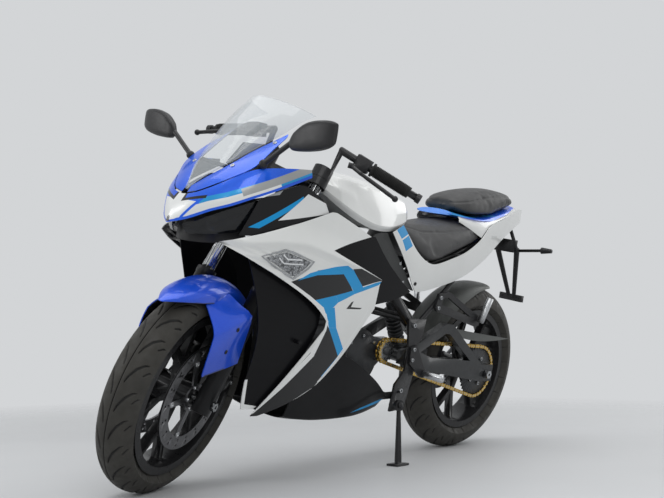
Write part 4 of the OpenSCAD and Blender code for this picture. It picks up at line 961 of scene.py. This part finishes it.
def treaded_tyre(node, body, hub, radius, half, rim_half, steps):
    """A tyre turned about its hub, with slanted rain grooves and ribbed walls."""
    centre = radius - half
    profile = tyre_profile(centre, half, rim_half)
    angles = np.arange(steps) * math.tau / steps
    r = np.repeat(profile[:, :1], steps, 1)
    y = np.repeat(profile[:, 1:], steps, 1)
    pitch = math.tau * radius / TREAD_REPEATS
    along = np.mod(angles * radius, pitch)[None, :] + np.zeros_like(r)
    left = [[(s, v * half / DRAWN_HALF, h) for s, v, h in cut] for cut in (MAIN_GROOVE, SHORT_GROOVE)]
    right = [[(s + pitch / 2, -v, h) for s, v, h in cut] for cut in left]
    crown = [(0, 0, CROWN_GROOVE), (pitch, 0, CROWN_GROOVE)]
    cut = groove_depth(along, y, pitch, left + [crown] + right)
    out_r, out_y = r - centre, y
    reach = np.hypot(out_r, out_y)
    r = r - TREAD_DEPTH * cut * out_r / reach
    y = y - TREAD_DEPTH * cut * out_y / reach
    points = np.stack([r * np.cos(angles), y, r * np.sin(angles)], -1).reshape(-1, 3)
    rows = len(profile)
    faces = []
    for i in range(rows):
        a, b = i * steps, (i + 1) % rows * steps
        faces += [(a + k, a + (k + 1) % steps, b + (k + 1) % steps, b + k) for k in range(steps)]
    mesh = new_mesh(node + "_tread", points.tolist(), faces, 40)
    # the groove depth is kept on the mesh for the painted shade in the grooves
    mesh.attributes.new("groove", "FLOAT", "POINT").data.foreach_set("value", cut.reshape(-1))
    mesh.transform(hub)
    piece = add(node + "_tread", mesh, body, "tyre")
    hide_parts(node)
    return piece


treaded_tyre("front_tyre", "front_wheel", FRONT_HUB, 293, 56, 44, 960)
treaded_tyre("rear_tyre", "rear_wheel", REAR_HUB, 314, 69, 54, 864)

# Seats: cloth blown up over the drawn-in solids, sewn along a seam on either side
DRAW_IN, VOXEL, SWELL_CAP = 0.005, 0.005, 0.007
SWELL_FRAMES, HELD_BASE = 20, 0.012
SEAM_DEPTH, SEAM_WIDTH, SEAM_FROM = 2.6, 3.2, 40
STITCH_PACE, STITCH_LIFT, STITCH_LONGEST = 6.5, 5, 0.03


def swell(piece):
    """Blows a closed piece up as cloth under pressure, held at its base, and caps how far it moves."""
    start = vertex_values(piece.data, "co")
    base = piece.vertex_groups.new(name="base")
    held = np.flatnonzero(start[:, 2] < start[:, 2].min() + HELD_BASE)
    base.add([int(i) for i in held], 1.0, "REPLACE")
    cloth = piece.modifiers.new("cloth", "CLOTH")
    cloth.settings.use_pressure = True
    cloth.settings.uniform_pressure_force = 4
    cloth.settings.bending_stiffness = 4
    cloth.settings.vertex_group_mass = "base"
    cloth.settings.effector_weights.gravity = 0
    for step in range(1, SWELL_FRAMES + 1):
        scene.frame_set(step)
    apply_modifiers(piece)
    scene.frame_set(1)
    move = vertex_values(piece.data, "co") - start
    far = np.linalg.norm(move, axis=1, keepdims=True)
    set_places(piece.data, start + move * np.minimum(1.0, SWELL_CAP / np.maximum(far, 1e-9)))


def cushion(node, seam):
    """Foam seat: its solid drawn in a little, swollen by cloth under pressure, then sewn along a seam."""
    shape = copy_of(node)
    shape.normal_update()
    for vert, normal in [(v, v.normal.copy()) for v in shape.verts]:
        vert.co -= normal * DRAW_IN
    piece = add(node + "_cushion", mesh_from(node + "_cushion", shape), "chassis", "seat")
    even = piece.modifiers.new("even", "REMESH")
    even.mode = "VOXEL"
    even.voxel_size = VOXEL
    apply_modifiers(piece)
    swell(piece)
    taut = piece.modifiers.new("taut", "SMOOTH")
    taut.factor = 0.5
    taut.iterations = 8
    finer = piece.modifiers.new("finer", "SUBSURF")
    finer.levels = finer.render_levels = 1
    apply_modifiers(piece)
    places, normals = vertex_values(piece.data, "co"), vertex_values(piece.data, "normal")
    upright, _ = upright_places(piece.data, "chassis")
    x, y, z = upright.T
    sunk = SEAM_DEPTH * np.exp(-((z - seam(x)) / SEAM_WIDTH) ** 2) * (np.abs(y) > SEAM_FROM)
    set_places(piece.data, places - normals * (sunk * MM)[:, None].astype(np.float32))
    piece.vertex_groups.clear()
    shade(piece.data, 60)
    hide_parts(node)
    return piece


def between(table):
    """A value read off straight lines through (x, value) pairs."""
    xs, values = zip(*sorted(table))
    return lambda x: np.interp(x, xs, values)


def stitches(name, piece, seam, start, end):
    """Thread along a seam on both sides of a seat."""
    tree = tree_of(piece)
    unit = turned(name + "_thread", [(0, -2.1), (0.45, -1.9), (0.6, 0), (0.45, 1.9), (0, 2.1)], 8)
    runs, places = np.arange(start, end, STITCH_PACE), []
    for side in SIDES:
        hits = [cast_inwards(tree, x, seam(x) + STITCH_LIFT, side) for x in runs]
        ends = [hit.translation for hit in hits if hit]
        for a, b in zip(ends, ends[1:]):
            if (b - a).length < STITCH_LONGEST:
                places.append(shift(a) @ aimed(b - a) @ Matrix.Scale(MM, 4))
    return repeat(name, unit, places, "chassis", "thread")


rider_seam = between([(-530, 850), (-480, 850), (-400, 838), (-300, 820), (-200, 810), (-120, 822)])
pillion_seam = between([(-790, 978), (-740, 984), (-640, 980), (-540, 962), (-440, 938), (-386, 926)])
rider_seat, pillion_seat = cushion("rider_seat", rider_seam), cushion("pillion_seat", pillion_seam)
stitches("rider_stitches", rider_seat, rider_seam, -500, -150)
stitches("pillion_stitches", pillion_seat, pillion_seam, -770, -400)

# Apron between the seat trim and the tail: its upper and lower edges on the left
TRIM_EDGE = [(-392, 84, 884), (-440, 104, 880), (-505, 111, 880), (-548, 108, 882), (-620, 97, 894),
             (-700, 86, 915), (-790, 60, 946)]
TAIL_EDGE = [(-392, 98, 862), (-440, 116, 842), (-505, 124, 818), (-548, 118, 857), (-620, 107, 883),
             (-700, 94, 909), (-790, 70, 941)]
APRON_STEPS, APRON_BULGE, APRON_WALL = 6, 5, 3


def apron(name, top, foot):
    """Sheet from the seat trim's edge down to the tail on both sides, rounded between its rows."""
    points, faces = [], []
    rows, steps = len(top), APRON_STEPS
    ring = list(range(steps)) + list(range(2 * steps - 1, steps - 1, -1))
    for side in SIDES:
        start = len(points)
        for a, b in zip(top, foot):
            for depth in (0, APRON_WALL):
                for k in range(steps):
                    t = k / (steps - 1)
                    out = APRON_BULGE * math.sin(math.pi * t) - depth
                    at = Vector(a).lerp(Vector(b), t) + Vector((0, out, 0))
                    points.append(PARKED @ Vector((at.x, at.y * side, at.z)))
        for r in range(rows - 1):
            a, b = start + r * 2 * steps, start + (r + 1) * 2 * steps
            for c, n in zip(ring, ring[1:] + ring[:1]):
                faces.append((a + c, b + c, b + n, a + n)[::-side])
        for r, way in ((0, 1), (rows - 1, -1)):
            faces.append(tuple(start + r * 2 * steps + c for c in ring)[::-side * way])
    return add(name, new_mesh(name, points, faces), "chassis", "white")


apron("seat_apron", TRIM_EDGE, TAIL_EDGE)

# Chain: pins through every link and outer plates on every second one
SPROCKET = Vector((-112, 0, 402))
CHAIN_Y, SMALL_R, LARGE_R, LINK = 86, 38, 95, 15.875
CHAIN_ARC = 120  # steps round each sprocket
PLATE_Y, PLATE_THICK, PLATE_R, PLATE_WAIST, PLATE_CORNERS = 6.9, 1.5, 6.4, 4.6, 48


def chain_loop():
    """Pin places along the chain, in upright x and z."""
    run = Vector((REAR_AXLE.x - SPROCKET.x, REAR_AXLE.z - SPROCKET.z))
    tilt, tuck = math.atan2(run.y, run.x), math.asin((LARGE_R - SMALL_R) / run.length)
    centres = [(Vector((SPROCKET.x, SPROCKET.z)), SMALL_R), (Vector((REAR_AXLE.x, REAR_AXLE.z)), LARGE_R)]
    sweeps = [(math.pi / 2 + tuck, 1.5 * math.pi - tuck), (-math.pi / 2 - tuck, math.pi / 2 + tuck)]
    loop = []
    for (centre, radius), (start, end) in zip(centres, sweeps):
        for k in range(CHAIN_ARC + 1):
            a = tilt + start + (end - start) * k / CHAIN_ARC
            loop.append(centre + radius * Vector((math.cos(a), math.sin(a))))
    loop.append(loop[0])
    reach = np.concatenate([[0], np.cumsum([(b - a).length for a, b in zip(loop, loop[1:])])])
    count = round(reach[-1] / LINK)
    marks = np.arange(count + 1) * reach[-1] / count
    xs, zs = (np.interp(marks, reach, [p[axis] for p in loop]) for axis in (0, 1))
    return list(zip(xs, zs))


def ring_faces(a, b, count, way=1):
    """Faces between two rings of corners that start at `a` and `b`, turned over where `way` is -1."""
    return [(a + c, a + (c + 1) % count, b + (c + 1) % count, b + c)[::way] for c in range(count)]


def plate_mesh():
    """Outer link plate: a waisted slip between two pins, seen along +Z."""
    half, n = LINK / 2, PLATE_CORNERS
    outline = []
    for k in range(n):
        a = math.tau * k / n
        x = math.cos(a) * (half + PLATE_R)
        width = PLATE_R * math.sqrt(max(0.0, 1 - max(0.0, (abs(x) - half) / PLATE_R) ** 2))
        waist = PLATE_WAIST + (PLATE_R - PLATE_WAIST) * min(1.0, abs(x) / half)
        tip = k % (n // 2) == 0
        outline.append((x, 0.0 if tip else math.copysign(min(width, waist), math.sin(a))))
    points = [(x, y, z) for z in (0, PLATE_THICK) for x, y in outline]
    flats = [tuple(range(n))[::-1], tuple(range(n, 2 * n))]
    return new_mesh("outer_plate", points, flats + ring_faces(0, n, n))


pins = chain_loop()
pin = turned("chain_pin", [(0, -8.6), (2.3, -8.6), (2.6, -8.2), (2.6, 8.2), (2.3, 8.6), (0, 8.6)], 12)
spots = [spot("chassis", (x, CHAIN_Y, z), (0, 1, 0)) for x, z in pins[:-1]]
repeat("chain_pins", pin, spots, "chassis", "steel")
plates = []
for (x0, z0), (x1, z1) in list(zip(pins, pins[1:]))[::2]:
    tilt = math.atan2(z1 - z0, x1 - x0)
    for side in SIDES:
        middle = Vector(((x0 + x1) / 2, CHAIN_Y + side * PLATE_Y, (z0 + z1) / 2))
        plates.append(PARKED @ shift(middle) @ Matrix.Rotation(-tilt, 4, "Y")
                      @ Matrix.Rotation(math.radians(-90 * side), 4, "X"))
repeat("chain_plates", plate_mesh(), plates, "chassis", "gold")

# Fasteners
HUB_BOLTS = 5
FRONT_DISC_Y, REAR_DISC_Y, SPROCKET_Y = 57.8, -80.8, 89.0
CALIPER = FORK @ Matrix.Rotation(math.radians(-43), 4, "Y") @ shift(Vector((0, 0, 140.2)))
CALIPER_BOLTS, CALIPER_Y = [(-36, 14), (36, 14), (0, -17)], 75.0
FOOTREST_BOLTS = [(-178, 420), (-176, 384), (-298, 596), (-292, 560)]
MOTOR_X, MOTOR_Z, MOTOR_BOLT_R = -8, 372, 78
PIVOT_BOLTS = [(-181.5, 385), (-150, 280), (-168, 500)]
SCREEN_SCREWS = [(651, 82, 915), (546, 117, 994)]


def round_hub(body, hub, radius, y, turn=0.0):
    """Places of the bolts round a hub, facing outwards."""
    angles = [math.tau * k / HUB_BOLTS + turn for k in range(HUB_BOLTS)]
    way = (0, math.copysign(1, y), 0)
    return [spot(body, hub + Vector((radius * math.cos(a), y, radius * math.sin(a))), way) for a in angles]


disc_bolt, button = screw_head("disc_bolt", 6, 5), screw_head("disc_button", 8, 2.4)
for label, head, radius, finish in (("bolts", disc_bolt, 31, "steel"), ("buttons", button, 107, "alloy")):
    spots = [p for side in SIDES for p in round_hub("front_wheel", FRONT_AXLE, radius, FRONT_DISC_Y * side)]
    repeat("front_disc_" + label, head, spots, "front_wheel", finish)
for label, head, radius, finish in (("bolts", disc_bolt, 31, "steel"), ("buttons", button, 68, "alloy")):
    spots = round_hub("rear_wheel", REAR_AXLE, radius, REAR_DISC_Y)
    repeat("rear_disc_" + label, head, spots, "rear_wheel", finish)
repeat("sprocket_bolts", screw_head("sprocket_bolt", 8, 7, 6),
       round_hub("rear_wheel", REAR_AXLE, 50, SPROCKET_Y, 0.6), "rear_wheel", "steel")
spots = [CALIPER @ shift(Vector((x, CALIPER_Y * side, z))) @ aimed((0, side, 0))
         for side in SIDES for x, z in CALIPER_BOLTS]
repeat("caliper_bolts", screw_head("caliper_bolt", 5.5, 6), spots, "steering", "steel")
side_screws("footrest_bolts", "footrest_brackets", 1, FOOTREST_BOLTS, (7, 6), "steel")
side_screws("footrest_bolts_right", "footrest_brackets", -1, FOOTREST_BOLTS, (7, 6), "steel")
spots = [(MOTOR_X + MOTOR_BOLT_R * math.cos(a), MOTOR_Z + MOTOR_BOLT_R * math.sin(a))
         for a in np.linspace(0, math.tau, 9)[:-1]]
side_screws("motor_bolts", "drive_motor", 1, spots, (5.5, 5, 6), "steel")
side_screws("pivot_bolts", "frame", 1, PIVOT_BOLTS, (9, 7, 6), "steel")
surround = tree_of(pieces["screen_surround"])
for label, side in zip(("left", "right"), SIDES):
    out = Vector((0.55, 0.75 * side, 0.35))
    starts = [Vector((x, y * side, z)) + out * 120 for x, y, z in SCREEN_SCREWS]
    screws("screen_screws_" + label, (6, 3), [cast(surround, "chassis", start, -out) for start in starts],
           "chassis", "alloy")
    side_screws("wing_screws_" + label, "front_fender", side, [(665, 512), (692, 452)], (6, 2),
                "satin_plastic", "steering")
    side_screws("tail_screws_" + label, "tail_fairing", side, [(-135, 639)], (6, 2), "satin_plastic")
    side_screws("tank_screws_" + label, "knee_panels", side, [(-60, 700), (-84, 640)], (5.5, 2), "steel")

# Grips: moulded ribs round the rubber, at places along the bar from its inner end
BAR_INNER, BAR_OUTER = Vector((329, 114, 1034)), Vector((273, 358, 970))
RIB_FROM, RIB_TO, RIB_PACE = 120, 228, 4.5
rib = turned("grip_rib", [(16.6, -1.3), (18.4, -0.8), (18.4, 0.8), (16.6, 1.3)], 32, loop=True)
ribs = []
for side in SIDES:
    inner, outer = (Vector((p.x, p.y * side, p.z)) for p in (BAR_INNER, BAR_OUTER))
    way = (outer - inner).normalized()
    ribs += [spot("steering", inner + way * run, way) for run in np.arange(RIB_FROM, RIB_TO, RIB_PACE)]
repeat("grip_ribs", rib, ribs, "steering", "rubber")

# Lamps and mirrors
FILM = 0.6 * MM
LAMP_MIDDLE, LAMP_REACH, LAMP_TURN = Vector((648, 66, 757)), 38, math.radians(22)
SIGNAL_EDGE = [(526, 713), (592, 691), (554, 671), (491, 643), (446, 671), (428, 691)]
CHEVRONS = [[(547, 693), (538, 685), (529, 679), (496, 680), (464, 681)],
            [(535, 703), (527, 696), (519, 691), (494, 692), (470, 693)]]
EDGE_STEPS = 8
SINK, BAR_SINK = -1.0, -0.4  # how far the bezels and light bars start below what they lie on

projector = turned("projector", [(0, -4), (20, -4), (20, 6), (17, 8), (16, 3), (14, 9), (9, 14), (0, 16)], 40)
spots = []
for side in SIDES:
    way = Vector((math.cos(LAMP_TURN), side * math.sin(LAMP_TURN), 0))
    spots.append(spot("chassis", LAMP_MIDDLE * Vector((1, side, 1)) + LAMP_REACH * way, way))
repeat("projectors", projector, spots, "chassis", "reflector")


def film(name, node, chosen, moved, finish):
    """Closed film made from the chosen faces of a chassis node, its corners moved in upright millimetres."""
    shape = copy_of(node)
    back = PARKED.inverted()
    rest = [f for f in shape.faces
            if not chosen((back.to_3x3() @ f.normal).normalized(), back @ f.calc_center_median())]
    bmesh.ops.delete(shape, geom=rest, context="FACES")
    shape.normal_update()
    for vert in shape.verts:
        vert.co = PARKED @ moved(back @ vert.co)
    bmesh.ops.solidify(shape, geom=shape.faces[:], thickness=FILM)
    bmesh.ops.recalc_face_normals(shape, faces=shape.faces)
    mesh = mesh_from(name, shape)
    shade(mesh)
    return add(name, mesh, "chassis", finish)


def lens_front(normal, middle):
    return abs(normal.y) > 0.85 and normal.y * middle.y > 0


def behind_lens(place):
    """Drawn in towards the middle of the lens, and under its face."""
    return Vector((508, place.y, 682)).lerp(place, 0.93) - Vector((0, math.copysign(2.6, place.y), 0))


def mirror_back(normal, middle):
    return normal.x < -0.84 and abs(middle.y) > 268


def on_mirror(place):
    """Drawn in towards the middle of the mirror head, and proud of its rear face."""
    return Vector((place.x, math.copysign(332, place.y), 1014)).lerp(place, 0.92) - Vector((1.2, 0, 0))


def bezel(name, outline, wide, high):
    """Silver frame round each front lamp, laid on the panel."""
    trees = [tree_of(pieces[node]) for node in ("side_fairings", "front_signals")]
    middle = Vector((sum(p[0] for p in outline), sum(p[1] for p in outline))) / len(outline)
    line = [Vector(a).lerp(Vector(b), k / EDGE_STEPS)
            for a, b in zip(outline, outline[1:] + outline[:1]) for k in range(EDGE_STEPS)]
    points, faces = [], []
    for side in SIDES:
        start = len(points)
        for flat in line:
            out = (flat - middle).normalized()
            for reach, lift in ((wide, SINK), (wide, high), (0, high), (0, SINK)):
                at = flat + out * reach
                hits = [cast_inwards(tree, at.x, at.y, side) for tree in trees]
                points.append(next(h for h in hits if h) @ Vector((0, 0, lift)))
        count = len(line)
        for k in range(count):
            faces += ring_faces(start + 4 * k, start + 4 * ((k + 1) % count), 4, -side)
    return add(name, new_mesh(name, points, faces), "chassis", "steel")


def light_bars(name, lines, tree, wide, high):
    """Bright bars along lines in x and z, laid on a reflector."""
    points, faces = [], []
    for side in SIDES:
        for line in lines:
            start, last = len(points), len(line) - 1
            for k, flat in enumerate(line):
                ahead = Vector(line[min(k + 1, last)]) - Vector(line[max(k - 1, 0)])
                across = Vector((-ahead.y, ahead.x)).normalized() * wide / 2
                for reach, lift in ((-1, BAR_SINK), (-1, high), (1, high), (1, BAR_SINK)):
                    at = Vector(flat) + across * reach
                    points.append(cast_inwards(tree, at.x, at.y, side) @ Vector((0, 0, lift)))
            end = start + 4 * last
            for a in range(start, end, 4):
                faces += ring_faces(a, a + 4, 4, side)
            faces += [tuple(range(start, start + 4))[::-side], tuple(range(end, end + 4))[::side]]
    return add(name, new_mesh(name, points, faces), "chassis", "bars")


signal_backs = film("signal_backs", "front_signals", lens_front, behind_lens, "bowl")
bezel("signal_bezels", SIGNAL_EDGE, 6, 2.0)
light_bars("signal_bars", CHEVRONS, tree_of(signal_backs), 3.6, 0.9)
film("mirror_glass", "mirrors", mirror_back, on_mirror, "mirror")


def plate(name, stance, size, finish):
    """A thin bevelled chassis plate centred on a place, its face along +Z."""
    shape = bmesh.new()
    bmesh.ops.create_cube(shape, size=1.0)
    bmesh.ops.scale(shape, vec=size, verts=shape.verts)
    bmesh.ops.bevel(shape, geom=shape.edges, offset=min(size) * 0.35, segments=2, profile=0.7, affect="EDGES")
    mesh = mesh_from(name, shape)
    mesh.transform(stance)
    shade(mesh)
    return add(name, mesh, "chassis", finish)


# The display lies on the rear face of the instrument panel
dash = PARKED @ shift(Vector((512, 0, 952))) @ Matrix.Rotation(math.radians(-38), 4, "Y")
face = dash @ shift(Vector((-9.4, 0, 0))) @ Matrix.Rotation(math.radians(-90), 4, "Y")
plate("dash_display", face, (62, 122, 1.6), "display")
